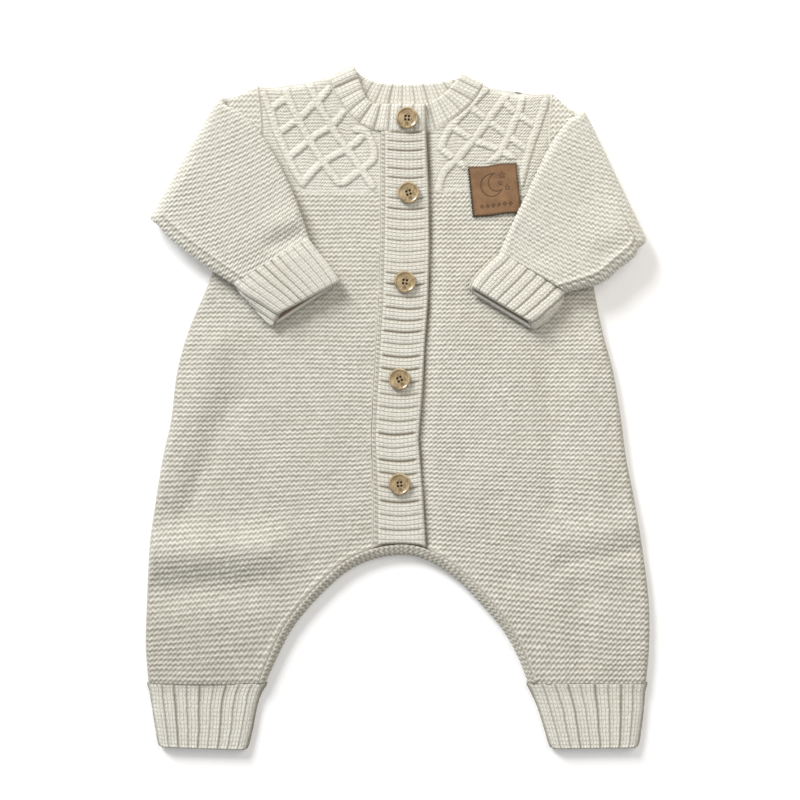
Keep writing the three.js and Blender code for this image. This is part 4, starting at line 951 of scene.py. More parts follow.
def back_panel():
    shell = Shell()
    sheets = []
    for lining in (False, True):
        middle, left = back_half(shell, "left", lining)
        _, right = back_half(shell, "right", lining, middle)
        sheets.append(left + right)
    for outer, lining in zip(*sheets):
        shell.stitch(shell.chain(outer), shell.chain(lining))
    return shell.piece("back_knit", knit)


# Neckband

def shoulder_fold(side):
    free_x, free_y, sewn_x, sewn_y = NECK_SHOULDER[side]
    free = np.array([free_x, free_y, HALF_HEIGHT])
    sewn = np.array([sewn_x, sewn_y, HALF_HEIGHT])
    run = (sewn - free) / np.linalg.norm(sewn - free)
    out = np.array([run[1], -run[0], 0]) * inwards[side]
    stations = []
    for angle in np.linspace(0, math.pi, 5):
        move = out * NECK_FOLD_RADIUS * math.sin(angle)
        move = move + np.array([0, 0, NECK_FOLD_RADIUS * math.cos(angle)])
        stations.append((free + move, sewn + move, 0))
    return stations


def neck_stations():
    full = 2 * HALF_HEIGHT - WALL / 2
    over = (OVERLAP["bottom"] + OVERLAP["top"]) / 2
    under = (UNDERLAP["bottom"] + UNDERLAP["top"]) / 2

    def flat(row, z):
        return np.array([row[0], row[1], z]), np.array([row[2], row[3], z]), row[4]

    heights = [over, over, over, mix(over, full, 0.5)] + [full] * len(NECK_FRONT_LEFT)
    left = [flat(row, z) for row, z in zip(NECK_FRONT_LEFT, heights)]
    back = [flat(row, WALL / 2) for row in NECK_BACK]
    right = [flat(row, mix(full, under, row[4])) for row in NECK_FRONT_RIGHT]
    return left + shoulder_fold("left") + back + shoulder_fold("right")[::-1] + right


def centripetal(points, count):
    """Even shares of the centripetal curve through the points."""
    places = np.concatenate([[0], np.cumsum(np.sqrt(np.linalg.norm(np.diff(points, axis=0), axis=1)))])
    padded = np.concatenate([[2 * points[0] - points[1]], points, [2 * points[-1] - points[-2]]])
    first = places[0] - (places[1] - places[0])
    last = places[-1] + (places[-1] - places[-2])
    knots = np.concatenate([[first], places, [last]])
    share = np.linspace(0, len(points) - 1, count)
    i = np.minimum(share.astype(int), len(points) - 2)
    t0, t1, t2, t3 = (knots[i + k][:, None] for k in range(4))
    p0, p1, p2, p3 = (padded[i + k] for k in range(4))
    t = t1 + (share - i)[:, None] * (t2 - t1)
    a1 = (t1 - t) / (t1 - t0) * p0 + (t - t0) / (t1 - t0) * p1
    a2 = (t2 - t) / (t2 - t1) * p1 + (t - t1) / (t2 - t1) * p2
    a3 = (t3 - t) / (t3 - t2) * p2 + (t - t2) / (t3 - t2) * p3
    b1 = (t2 - t) / (t2 - t0) * a1 + (t - t0) / (t2 - t0) * a2
    b2 = (t3 - t) / (t3 - t1) * a2 + (t - t1) / (t3 - t1) * a3
    return (t2 - t) / (t2 - t1) * b1 + (t - t1) / (t2 - t1) * b2


def neckband():
    stations = neck_stations()
    count = 1400
    free = centripetal(np.array([s[0] for s in stations]), count)
    sewn = centripetal(np.array([s[1] for s in stations]), count)
    sunk = np.interp(np.linspace(0, len(stations) - 1, count), range(len(stations)), [s[2] for s in stations])
    middle = (free + sewn) / 2
    reach = reach_of(middle)
    pitch = reach[-1] / round(reach[-1] / NECK_RIB_PITCH)
    spots = np.linspace(0, reach[-1], int(reach[-1] / 0.78))
    free, sewn, middle = (along_reach(line, reach, spots) for line in (free, sewn, middle))
    sunk = np.interp(spots, reach, sunk)
    low = WALL / 2
    free[:, 2] = np.maximum(free[:, 2], low)
    sewn[:, 2] = np.maximum(sewn[:, 2], low)
    tangent = np.gradient(middle, axis=0)
    tangent = tangent / np.linalg.norm(tangent, axis=1)[:, None]
    across = sewn - free
    width = np.linalg.norm(across, axis=1)
    normal = np.cross(tangent, across / width[:, None])
    normal = normal / np.linalg.norm(normal, axis=1)[:, None]
    half = mix(WALL / 2, (UNDERLAP["top"] - UNDERLAP["bottom"]) / 2, sunk)
    front = np.clip((free[:, 2] - low) / (2 * NECK_FOLD_RADIUS), 0, 1)
    edge = np.array([0, 0.35, 1.0, 2.0])
    shell = Shell()
    rings = []
    for i in range(len(spots)):
        share = np.concatenate([edge / width[i], np.linspace(2.8 / width[i], 1 - 2.8 / width[i], 20),
                                1 - edge[::-1] / width[i]])
        from_edge = np.minimum(share, 1 - share) * width[i]
        dome = np.where(share < 0.5, bulge(from_edge / 1.6), bulge((from_edge + 0.12) / 0.45))
        rib = rib_profile(spots[i] / pitch + 0.03 * np.sin(share * 5 + i / 9), 0.17)
        rib = 1 - (1 - rib) * groove_depth(spots[i] / pitch, 41)
        knots = plait(share * width[i] / 3.1, np.full(len(share), spots[i] / pitch * 3))
        shaped = np.where(share < 0.5, smooth(from_edge / 2.0), smooth(from_edge / 1.8))
        outside = half[i] * dome + shaped * (NECK_RIB * rib * front[i] * (1 - 0.6 * sunk[i]) + 0.22 * (knots - 0.7) * rib)
        hidden = 0.5 * rib * (1 - front[i]) + 0.3 * (knots - 0.6) * rib
        inside = -(half[i] * dome) - shaped * hidden
        up = free[i] + share[:, None] * across[i] + normal[i] * outside[:, None]
        down = free[i] + share[:, None] * across[i] + normal[i] * inside[:, None]
        # Painted shade in the rib grooves and along the free edge
        rim = np.exp(-(share * width[i] / 1.3) ** 2)
        tone_up = mix(0.45, 0.7 + 0.27 * knots, rib) * (1 - 0.25 * rim)
        grain_up = rib_grain(share * width[i] / 3.1, np.full(len(share), spots[i] / pitch * 3))
        ring = np.concatenate([up, down[1:-1][::-1]])
        tone = np.concatenate([tone_up, tone_up[1:-1][::-1]])
        param = np.concatenate([share, 2 - share[1:-1][::-1]])
        rings.append(shell.ring(ring, 0, tone, param, np.concatenate([grain_up, grain_up[1:-1][::-1]])))
    shell.stitch_all(rings)
    shell.fan(rings[0])
    shell.fan(rings[-1])
    return shell.piece("neckband_rib", ribbing)


def along_reach(line, reach, spots):
    return np.stack([np.interp(spots, reach, line[:, i]) for i in range(3)], 1)


# Placket and the band under it

def placket_bow(x, y):
    share = np.clip(1 - (y - PLACKET_END_Y) / PLACKET_BOW["reach"], 0, 1)
    return -PLACKET_BOW["depth"] * share * ((x - CENTRE_X) / PLACKET_BOW["half_width"]) ** 2


PLACKET_TUCK = 0.55


def band_sheet(shell, heights, spacing, inset, relief=None):
    """Rows across the band from its top end down."""
    count = int((PLACKET_TOP_Y - PLACKET_END_Y) / spacing)
    top = PLACKET_TOP_Y + (PLACKET_TUCK if relief else 0)
    rows = []
    for y in np.linspace(top, PLACKET_END_Y, count + 1):
        left = x_at_y(PLACKET_LEFT, y) + inset[0]
        right = x_at_y(PLACKET_RIGHT, y) - inset[1]
        width = right - left
        edge = np.array([0, 0.3, 0.9])
        steps = int(width / spacing)
        share = np.concatenate([edge / width, np.linspace(1.6 / width, 1 - 1.6 / width, steps), 1 - edge[::-1] / width])
        x = mix(left, right, share)
        lift, tone, grain = relief(x - left, right - x, y) if relief else (0, 1, None)
        points = np.stack([x, y + placket_bow(x, y), np.full(len(x), heights) + lift], 1)
        rows.append(shell.row(points, 0, tone, share, grain=grain))
    return rows


def placket_relief(from_left, from_right, y):
    place = np.interp(-y, [-g for g in PLACKET_GROOVES], GROOVE_STEP * np.arange(len(PLACKET_GROOVES)))
    across = np.clip((from_left - SELVEDGE) / (from_left + from_right - SELVEDGE), 0, 1)
    sag = 0.2 * np.sin(np.pi * across)
    wave = 0.05 * soft_noise(from_left, y, 17, 21)
    place = place - sag + 0.1 + wave
    from_end = y - PLACKET_END_Y
    ends = float(smooth(from_end / 1.5))
    inside = smooth((from_left - SELVEDGE) / 1.2) * smooth(from_right / 1.2)
    reach = smooth((from_left - SELVEDGE - 0.5) / 3) * smooth((from_right - 1) / 4)
    groove = (1 - rib_profile(place, 0.11)) * groove_depth(place, 42) * reach
    rib = 1 - groove
    knots = plait(from_left / 3.0, place * 3)
    chain_across = from_left / SELVEDGE - 0.5
    chain = 0.5 + 0.5 * np.cos(2 * math.pi * (y / 3.4 + 0.35 * chain_across)) * np.cos(math.pi * 0.8 * chain_across)
    lift = inside * (RIB * (rib - 0.25 * (1 - reach)) + 0.32 * (knots - 0.7) * rib)
    lift = lift + (1 - inside) * smooth(from_left / 1.2) * (0.9 * chain) * (from_left < SELVEDGE + 1.5)
    lift = lift - 0.12 * np.exp(-((from_left - SELVEDGE - 0.2) / 0.6) ** 2)
    rim = np.minimum(0.25 * (bulge(from_left / 1.3) - 1), bulge(from_right / 2.0) - 1)
    # Painted shade in the rib grooves, the selvedge's pits and beside the right edge; the whole placket is also a
    # little darker
    tone = mix(0.45 + 0.55 * chain, mix(0.05, 0.62 + 0.38 * knots, rib), inside)
    tone = 0.88 * tone * (1 - 0.25 * (1 - smooth(from_right / 1.5)))
    lift = lift * ends + 1.1 * rim + 0.9 * float(bulge(from_end / 1.3) - 1)
    grain = rib_grain(from_left / 3.0, place * 3)
    side_grain = rib_grain(np.full(len(from_left), y / 3.1), chain_across)
    return lift, tone, np.where((from_left < SELVEDGE)[:, None], side_grain, grain)


def placket():
    shell = Shell()
    top = band_sheet(shell, OVERLAP["top"], 0.72, (0, 0), placket_relief)
    low = band_sheet(shell, OVERLAP["bottom"], 6, (0, 0))
    shell.close(top, low)
    return shell.piece("placket_rib", ribbing)


def button_band():
    shell = Shell()
    inset = (BUTTON_BAND_INSET["left"], BUTTON_BAND_INSET["right"])
    top = band_sheet(shell, UNDERLAP["top"], 3, inset)
    low = band_sheet(shell, UNDERLAP["bottom"], 6, inset)
    shell.close(top, low)
    return shell.piece("button_band_rib", ribbing)


# Flat tubes: the first half of a ring is the side that faces up before any fold

def tube_shares(width, count):
    edge = np.array([0, 0.2, 0.7, 1.5])
    start = 2.4 / width
    return np.concatenate([edge / width, np.linspace(start, 1 - start, count), 1 - edge[::-1] / width])


def tube_lining(shell, places, count=12, tones=None):
    """Inside of a tube; places are functions of share and lift, with their widths."""
    rings = []
    for (width, place), tone in zip(places, tones or [1.0] * len(places)):
        steps = mix(WALL, ROLL, np.array([0, 0.35, 1])) / width
        share = np.concatenate([steps, np.linspace(steps[-1], 1 - steps[-1], count)[1:-1], 1 - steps[::-1]])
        lift = (HALF_HEIGHT - WALL) * inner_bulge(np.minimum(share, 1 - share) * width)
        up = place(share, lift)
        down = place(share[1:-1][::-1], -lift[1:-1][::-1])
        rings.append(shell.ring(np.concatenate([up, down]), 0, tone, np.concatenate([share, 2 - share[1:-1][::-1]])))
    return rings


def close_tube(shell, outer, lining):
    shell.stitch_all(outer)
    shell.stitch_all(lining)
    shell.stitch(outer[0], lining[0])
    shell.stitch(outer[-1], lining[-1])


# Sleeves

def sleeve_shape(side):
    data = SLEEVE[side]
    top = np.array(data["fold_top"], float)
    low = np.array(data["fold_low"], float)
    run = (low - top) / np.linalg.norm(low - top)
    out = np.array([run[1], -run[0]]) * inwards[side]
    reach = SLEEVE_BEND_RADIUS + HALF_HEIGHT

    def axis(share, layer):
        share = np.asarray(share, float)[..., None]
        skew = mix(data["skew_top"], data["skew_low"], share)
        return mix(top, low, share) - out * reach + run * layer * skew / 2

    armhole = shifted(armhole_line[side], -inwards[side] * CURVED_SEAM)
    upper = smooth_line([tuple(axis(0.0, 1)), *data["upper"]])
    lower = smooth_line([tuple(axis(1.0, 1)), *data["lower"]])
    return out, axis, armhole, upper, lower


def sleeve_places(side, counts):
    """Each ring's width, place function, and its stage: 0 under, 1 round the bend, 2 on top."""
    out, axis, armhole, upper, lower = sleeve_shape(side)
    arm = reach_of(armhole)[-1]
    places = []

    def flat(plan, z, facing):
        def place(share, lift):
            p = plan(share)
            return np.column_stack([p, z + facing * lift])
        return place

    for t in np.linspace(0, 1, counts[0], endpoint=False):
        def plan(share, t=t):
            return mix(along(armhole, arm * share), axis(share, -1), t)
        places.append((plan, flat(plan, HALF_HEIGHT, 1), 0, t))
    for turn in np.linspace(0, 1, counts[1] + 1):
        def plan(share, turn=turn):
            return axis(share, 2 * turn - 1)

        def place(share, lift, plan=plan, turn=turn):
            radius = SLEEVE_BEND_RADIUS - lift
            p = plan(share) + out * (radius * math.sin(math.pi * turn))[:, None]
            return np.column_stack([p, HALF_HEIGHT + SLEEVE_BEND_RADIUS - radius * math.cos(math.pi * turn)])
        places.append((plan, place, 1, turn))
    for t in np.linspace(0, 1, counts[2] + 1)[1:]:
        def plan(share, t=t):
            a = along(upper, reach_of(upper)[-1] * t)
            b = along(lower, reach_of(lower)[-1] * t)
            return mix(a, b, np.asarray(share, float)[..., None])
        places.append((plan, flat(plan, HALF_HEIGHT + 2 * SLEEVE_BEND_RADIUS, -1), 2, t))
    return places


def width_of(plan):
    ends = plan(np.array([0.0, 1.0]))
    return np.linalg.norm(ends[1] - ends[0])


ROW_CURVE = {
    "left": {"from": -178, "span": 105, "slope": 0.62, "pitch": 3.5},
    "right": {"from": 180, "span": -105, "slope": 0.6, "pitch": 3.5},
}


def sleeve_stitches(side, x, y):
    """Counts of rows and columns where the rows curve from level to parallel with the cuff."""
    shape = ROW_CURVE[side]
    share = np.clip((x - shape["from"]) / shape["span"], 0, 1.2)
    rise = shape["slope"] * abs(shape["span"]) * share ** 2 / 2 * 1.25
    slope = shape["slope"] * share
    length = abs(shape["span"]) * (share + slope ** 2 * share / 6)
    return (y - rise) / shape["pitch"], length / STITCH["width"]


# Soft folds of the sleeves' upper layer, written like those of the front
SLEEVE_FOLDS = {
    "left": [(-92, 118, -62, 128, 6, -1.7), (-88, 133, -70, 141, 8, 1.5), (-150, 165, -112, 120, 16, 1.0),
             (-135, 92, -160, 112, 14, 1.2)],
    "right": [(70, 92, 84, 84, 6, -1.4), (86, 128, 104, 112, 7, -1.1), (112, 180, 146, 130, 18, 1.2), (166, 122, 118, 80, 26, 3.0),
              (150, 112, 176, 122, 7, -1.0)],
}


def sleeve_folds(side, x, y):
    return folds_at(SLEEVE_FOLDS[side], x, y)


def sleeve(side):
    shell = Shell()
    out, axis, _, _, _ = sleeve_shape(side)
    fine = sleeve_places(side, (34, 26, 136))
    rings = []
    for plan, place, stage, t in fine:
        width = width_of(plan)
        seen = {0: 64, 1: 96, 2: 118}[stage]
        hidden = {0: 64, 1: 40, 2: 40}[stage]
        up, down = tube_shares(width, hidden), tube_shares(width, seen)
        lift_up = HALF_HEIGHT * outer_bulge(np.minimum(up, 1 - up) * width)
        lift_down = HALF_HEIGHT * outer_bulge(np.minimum(down, 1 - down) * width)
        points = np.concatenate([place(up, lift_up), place(down[1:-1][::-1], -lift_down[1:-1][::-1])])
        share = np.concatenate([up, down[1:-1][::-1]])
        flat_at = plan(share)
        if stage == 1:
            flat_at = flat_at + out * (SLEEVE_BEND_RADIUS + HALF_HEIGHT) * math.pi * (1 - t)
        from_edge = np.minimum(share, 1 - share) * width
        rows, columns = sleeve_stitches(side, flat_at[:, 0], flat_at[:, 1])
        if stage == 0:
            rows, columns = flat_at[:, 1] / 3.9, flat_at[:, 0] / STITCH["width"]
        rows = rows + 0.1 * soft_noise(flat_at[:, 0], flat_at[:, 1], 30, 13)
        columns = columns + 0.2 * soft_noise(flat_at[:, 0], flat_at[:, 1], 24, 14)
        stitches = garter(rows, columns, 3)
        ends = 1.0
        if stage == 0:
            ends = float(smooth(t * 40 / 1.6))
        if stage == 2:
            ends = float(smooth((1 - t) * 100 / 0.9))
        is_down = np.arange(len(share)) >= len(up)
        under = (stage == 0) & is_down
        level = np.where(under, 1.0, 0.62)
        calm = 1 - 0.75 * np.exp(-((t - 0.5) / 0.2) ** 2) if stage == 1 else 1.0
        seam, cleft = np.zeros(len(share)), np.zeros(len(share))
        if stage == 2:
            from_low = (1 - share) * width
            seam = np.where(is_down, np.exp(-((from_low - 9.2) / 1.5) ** 2), 0)
            cleft = np.where(is_down, np.exp(-((from_low - 6.6) / 1.1) ** 2), 0)
        lift = (0.95 * calm * (stitches - level) * (1 - 0.3 * seam) + 0.9 * seam - 0.35 * cleft) * ends
        if stage == 2:
            lift = lift + is_down * 0.8 * sheet_noise(points[:, 0] + 300, points[:, 1]) * smooth(from_edge / 16) * ends
            lift = lift + is_down * sleeve_folds(side, points[:, 0], points[:, 1]) * smooth(from_edge / 6.5) * ends
        # Painted shade in the stitches' pits, towards the sleeve's joined ends and in the seam's cleft
        tone = mix(1, 0.75 + 0.25 * stitches, calm) * (1 - 0.25 * (1 - ends)) * (1 - 0.22 * cleft)
        param = np.concatenate([up, 2 - down[1:-1][::-1]])
        rings.append(shell.ring(points, lift, tone, param, stitch_grain(rows, columns, calm * ends)))
    coarse = [(width_of(plan), place) for plan, place, _, _ in sleeve_places(side, (5, 8, 10))]
    close_tube(shell, rings, tube_lining(shell, coarse))
    return shell.piece(f"sleeve_{side}_knit", knit)


# Cuffs

def cuff_lines(lines, stations):
    """Lines across a cuff at those stations, without kinks between them."""
    table = np.asarray(lines, float)
    exact = np.stack([np.interp(stations, range(len(table)), table[:, k]) for k in range(4)], 1)
    margin = 5
    before = 2 * exact[0] - exact[margin:0:-1]
    after = 2 * exact[-1] - exact[-2:-2 - margin:-1]
    padded = np.concatenate([before, exact, after])
    weights = np.ones(2 * margin + 1) / (2 * margin + 1)
    return np.stack([np.convolve(padded[:, k], weights, "valid") for k in range(4)], 1)


def cuff(name, shape, z, spacing=0.7):
    """A ribbed tube from its seam to its hem, ribbed all round."""
    top = np.array(shape["top"], float)
    under = np.array(shape.get("under", shape["top"]), float)
    length = reach_of((top[:, :2] + top[:, 2:]) / 2)
    count = int(length[-1] / 0.7)
    share = np.linspace(0, 1, count + 1)
    stations = np.interp(share * length[-1], length, range(len(top)))
    tops = cuff_lines(top, stations)
    unders = cuff_lines(under, stations)
    across = int(math.hypot(top[0, 2] - top[0, 0], top[0, 3] - top[0, 1]) / spacing)
    shell = Shell()

    def spot(i, share, lift):
        a, b = tops[i], unders[i]
        drawn_in = HEM_ROUND["depth"] * (1 - bulge((1 - i / count) * length[-1] / HEM_ROUND["run"])) / width_at(i)
        share = mix(drawn_in, 1 - drawn_in, share)
        on_top = np.column_stack([mix(a[0], a[2], share), mix(a[1], a[3], share)])
        on_under = np.column_stack([mix(b[0], b[2], share), mix(b[1], b[3], share)])
        return np.column_stack([mix(on_under, on_top, leaning(lift)[:, None]), z + lift])

    def width_at(i):
        a = tops[i]
        return math.hypot(a[2] - a[0], a[3] - a[1])

    even = mix(top[0], top[-1], share[:, None])

    def straight_share(i, place):
        """The same places counted on lines that taper evenly."""
        a, b = tops[i], even[i]
        spots = np.column_stack([mix(a[0], a[2], place), mix(a[1], a[3], place)])
        run = b[2:] - b[:2]
        return mix(place, (spots - b[:2]) @ run / (run @ run), shape.get("straight", 0))

    rings = []
    for i in range(count + 1):
        wall = np.hypot(*(tops[i] - unders[i]).reshape(2, 2).T)
        rings.append(cuff_ring(shell, i, share[i] * length[-1], length[-1], width_at(i), wall, shape["ribs"],
                               (across, across // 2), spot, straight_share))
    stations = [*np.linspace(0, count - 2 * CUFF_RIM_ROWS, 7).astype(int), count - CUFF_RIM_ROWS]
    coarse = [(width_at(i), lambda share, lift, i=i: spot(i, share, lift)) for i in stations]
    # The lining gets painted shade in the hollow between its ends
    tones = [RIM_TONE] + [HOLLOW_TONE] * (len(coarse) - 2) + [HEM_TONE]
    close_tube(shell, rings, tube_lining(shell, coarse, tones=tones))
    return shell.piece(name, ribbing)


CUFF_RIM_ROWS = 2
# HOLLOW_TONE is painted shade on the lining inside the hollow
HOLLOW_TONE = 0.08
RIM_TONE = 0.75
HEM_TONE = 0.95
HEM_ROUND = {"run": 5, "depth": 2.4}
WALL_STEPS = np.array([0, 0.004, 0.015, 0.035, 0.06, 0.1, 0.15, 0.22, 0.4, 0.8, 1.5])


def leaning(lift):
    """0 on the under layer, 1 on the upper, and between them on the side of the tube."""
    return smooth((lift + 1.2) / 2.4)


def cuff_shares(width, count):
    start = 2.3 / width
    return np.concatenate([WALL_STEPS / width, np.linspace(start, 1 - start, count), 1 - WALL_STEPS[::-1] / width])


def cuff_ring(shell, i, run, length, width, wall, ribs, counts, spot, straight_share):
    ends = float(smooth((length - run) / 2.2))
    hem = float(bulge((length - run) / 2.4))
    gather = math.exp(-run / 6)
    parts = []
    for count, way in zip(counts, (1, -1)):
        share = cuff_shares(width, count)
        if way < 0:
            share = share[1:-1][::-1]
        from_edge = np.minimum(share, 1 - share) * width
        flat = way * HALF_HEIGHT * outer_bulge(from_edge)
        beyond = np.where(share > 0.5, wall[1], -wall[0]) * (1 - leaning(flat)) / width * ribs
        wander = 0.06 * soft_noise(share * width, np.full(len(share), run), 14, 31)
        wander = wander + 0.03 * soft_noise(share * width, np.full(len(share), run), 2.6, 32)
        place = straight_share(i, share) * ribs + beyond + wander
        depth = groove_depth(place, 43 + ribs) * mix(1, 1.25, gather)
        groove = (1 - rib_profile(place, 0.14 + 0.04 * gather)) * np.clip(depth, 0, 1)
        rib = 1 - groove
        columns = place * 3
        knots = plait(np.full(len(share), run / 3.0), columns)
        rise = mix(0.25, 1, float(smooth(run / 9)))
        lift = RIB * rise * rib + 0.3 * (knots - 0.7) * rib - 0.3 * gather * groove
        lift = lift + 0.1 * soft_noise(share * width, np.full(len(share), run), 0.9, 33)
        if way < 0:
            lift = lift - RIB * 1.2
        base = flat - way * 1.5 * (1 - hem)
        # Painted shade in the rib grooves and on the upper layer's rounded hem
        tone = mix(0.8, mix(0.3, 0.7 + 0.3 * knots, rib), ends) * (mix(1, 0.75, 1 - hem) if way > 0 else 1)
        grain = rib_grain(np.full(len(share), run / 3.0), columns)
        parts.append((spot(i, share, base), lift * ends, tone, grain, share))
    points, lift, tone, grain = (np.concatenate([part[k] for part in parts]) for k in range(4))
    param = np.concatenate([parts[0][4], 2 - parts[1][4]])
    return shell.ring(points, lift, tone, param, grain)


# Patch: a leather square with a pressed line drawing, whipped on along two edges

PATCH_STEP = 0.42
PRESSED = {"depth": 0.3, "half_width": 0.42}
MOON = {"x": -1.5, "y": 3.5, "radius": 8.2, "cut_x": 2.6, "cut_y": 5.0, "cut_radius": 6.6}
STARS = [(6.5, 9.5, 2.3), (9.5, 0.5, 1.8), (4.5, 3.8, 1.5)]
DOTS = {"y": -11.5, "spacing": 4.2, "count": 6, "size": 1.2}
WHIP = {"spacing": 1.9, "length": 1.5, "radius": 0.26}


def pressed_lines(u, v):
    """1 on the pressed lines of the drawing: a moon, stars and a row of diamonds."""
    outer = np.hypot(u - MOON["x"], v - MOON["y"]) - MOON["radius"]
    cut = np.hypot(u - MOON["cut_x"], v - MOON["cut_y"]) - MOON["cut_radius"]
    away = np.abs(np.maximum(outer, -cut))
    for x, y, size in STARS:
        angle = np.arctan2(v - y, u - x)
        rim = size * (0.72 + 0.28 * np.cos(5 * (angle - math.pi / 2)))
        away = np.minimum(away, np.abs(np.hypot(u - x, v - y) - rim))
    for k in range(DOTS["count"]):
        x = (k - (DOTS["count"] - 1) / 2) * DOTS["spacing"]
        away = np.minimum(away, np.abs(np.abs(u - x) + np.abs(v - DOTS["y"]) - DOTS["size"]) * 0.7)
    return 1 - smooth((away - PRESSED["half_width"] * 0.4) / PRESSED["half_width"])


def patch_spot(u, v):
    turn = math.radians(PATCH["turn"])
    c, s = math.cos(turn), math.sin(turn)
    return PATCH["x"] + u * c - v * s, PATCH["y"] + u * s + v * c


def patch_base(x, y):
    """Height of the cloth under the patch."""
    return front_top("right", x, y) + sheet_noise(x, y) + 0.35


def patch_sheet(shell, upper):
    half_width, half_height = PATCH["width"] / 2, PATCH["height"] / 2
    rows = []
    for v in np.linspace(half_height, -half_height, int(PATCH["height"] / PATCH_STEP)):
        pull = 0.35 * np.sin(6.5 * v / half_height + 0.6)
        u = np.linspace(-half_width + 0.2 * pull, half_width + 0.25 * pull, int(PATCH["width"] / PATCH_STEP))
        bowed = v + 0.35 * np.sin(5 * u / half_width)
        x, y = patch_spot(u, bowed)
        away = np.minimum(half_width - np.abs(u), half_height - np.abs(v))
        away = np.clip(away, 0, 9)
        z = patch_base(x, y)
        if not upper:
            rows.append(shell.row(np.stack([x, y, z], 1), 0, 0.2))
            continue
        marks = pressed_lines(u, v) * smooth(away / 0.5)
        rim = bulge((away + 0.15) / 1.0)
        z = z + PATCH["thickness"] * (0.55 + 0.35 * rim) - PRESSED["depth"] * marks
        wear_and_pit_shade = 0.5 + 0.5 * soft_noise(u, v + 0 * u, 9, 51)
        tone = mix(0.35, 0.75 + 0.2 * wear_and_pit_shade, smooth(away / 2.2)) * (1 - 0.6 * marks)
        rows.append(shell.row(np.stack([x, y, z], 1), 0, tone))
    return rows


def patch():
    shell = Shell()
    shell.close(patch_sheet(shell, True), patch_sheet(shell, False))
    return shell.piece("patch_leather", leather)


def patch_whipping():
    """Short stitches over the patch's left and lower edges."""
    random = np.random.default_rng(6)
    shell = Shell()
    half_width, half_height = PATCH["width"] / 2, PATCH["height"] / 2
    starts = [(-half_width, v, 1, 0) for v in np.arange(-half_height + 1, half_height, WHIP["spacing"])]
    starts += [(u, -half_height, 0, 1) for u in np.arange(-half_width + 1, half_width, WHIP["spacing"])]
    for u, v, along_u, along_v in starts:
        slant = random.uniform(0.1, 0.5)
        t = np.linspace(-1, 1, 9)
        reach = t * WHIP["length"] / 2 + 0.4
        place_u = u + along_u * reach + along_v * slant * t
        place_v = v + along_v * reach + along_u * slant * t
        x, y = patch_spot(place_u, place_v)
        rise = np.where(reach > 0, PATCH["thickness"] * 0.93, 0.2 + 0.5 * (1 + t))
        path = np.stack([x, y, patch_base(x, y) + rise - 0.25 * t ** 4], 1)
        add_cord(shell, path, WHIP["radius"], 6)
    return plain_piece("patch_whipping", shell, thread_material)


def add_cord(shell, path, radius, sides):
    """A round cord along a path that stays nearly level."""
    run = np.gradient(path, axis=0)
    run = run / np.linalg.norm(run, axis=1)[:, None]
    flank = np.cross(run, [0, 0, 1])
    flank = flank / np.linalg.norm(flank, axis=1)[:, None]
    up = np.cross(flank, run)
    turn = np.linspace(0, 2 * math.pi, sides, endpoint=False)
    rings = []
    for p, a, b in zip(path, flank, up):
        ring = p + radius * (np.cos(turn)[:, None] * a + np.sin(turn)[:, None] * b)
        rings.append(shell.ring(ring, 0, 0.9, np.linspace(0, 2, sides, endpoint=False)))
    shell.stitch_all(rings)
    shell.fan(rings[0])
    shell.fan(rings[-1])


def plain_piece(name, shell, material):
    points = np.concatenate(shell.points) * MM
    return link_piece(name, mesh_from(name, points, np.concatenate(shell.faces)), material)


# Buttons

def button_mesh():
    data = BUTTON
    r, h = data["radius"], data["thickness"]
    profile = [(0, 0), (r - 1.6, 0), (r - 0.7, 0.25), (r - 0.15, 0.9), (r, 1.5), (r - 0.12, 2.3), (r - 0.5, 2.85),
               (r - 0.95, h), (r - 1.35, 2.85), (r - 1.75, 2.45), (r - 2.4, 2.25), (3.9, 2.2), (3.6, 2.28),
               (3.3, 2.2), (2.8, 2.1), (0, 2.1)]
    made = bmesh.new()
    rings = []
    sides = 64
    for radius, height in profile:
        if radius == 0:
            rings.append([made.verts.new((0, 0, height * MM))])
            continue
        angles = [2 * math.pi * k / sides for k in range(sides)]
        rings.append([made.verts.new((radius * math.cos(a) * MM, radius * math.sin(a) * MM, height * MM))
                      for a in angles])
    for first, second in zip(rings[:-1], rings[1:]):
        for k in range(sides):
            n = (k + 1) % sides
            if len(first) == 1:
                made.faces.new((first[0], second[k], second[n]))
            elif len(second) == 1:
                made.faces.new((first[k], first[n], second[0]))
            else:
                made.faces.new((first[k], first[n], second[n], second[k]))
    bmesh.ops.recalc_face_normals(made, faces=made.faces)
    mesh = bpy.data.meshes.new("button_body")
    made.to_mesh(mesh)
    made.free()
    return mesh


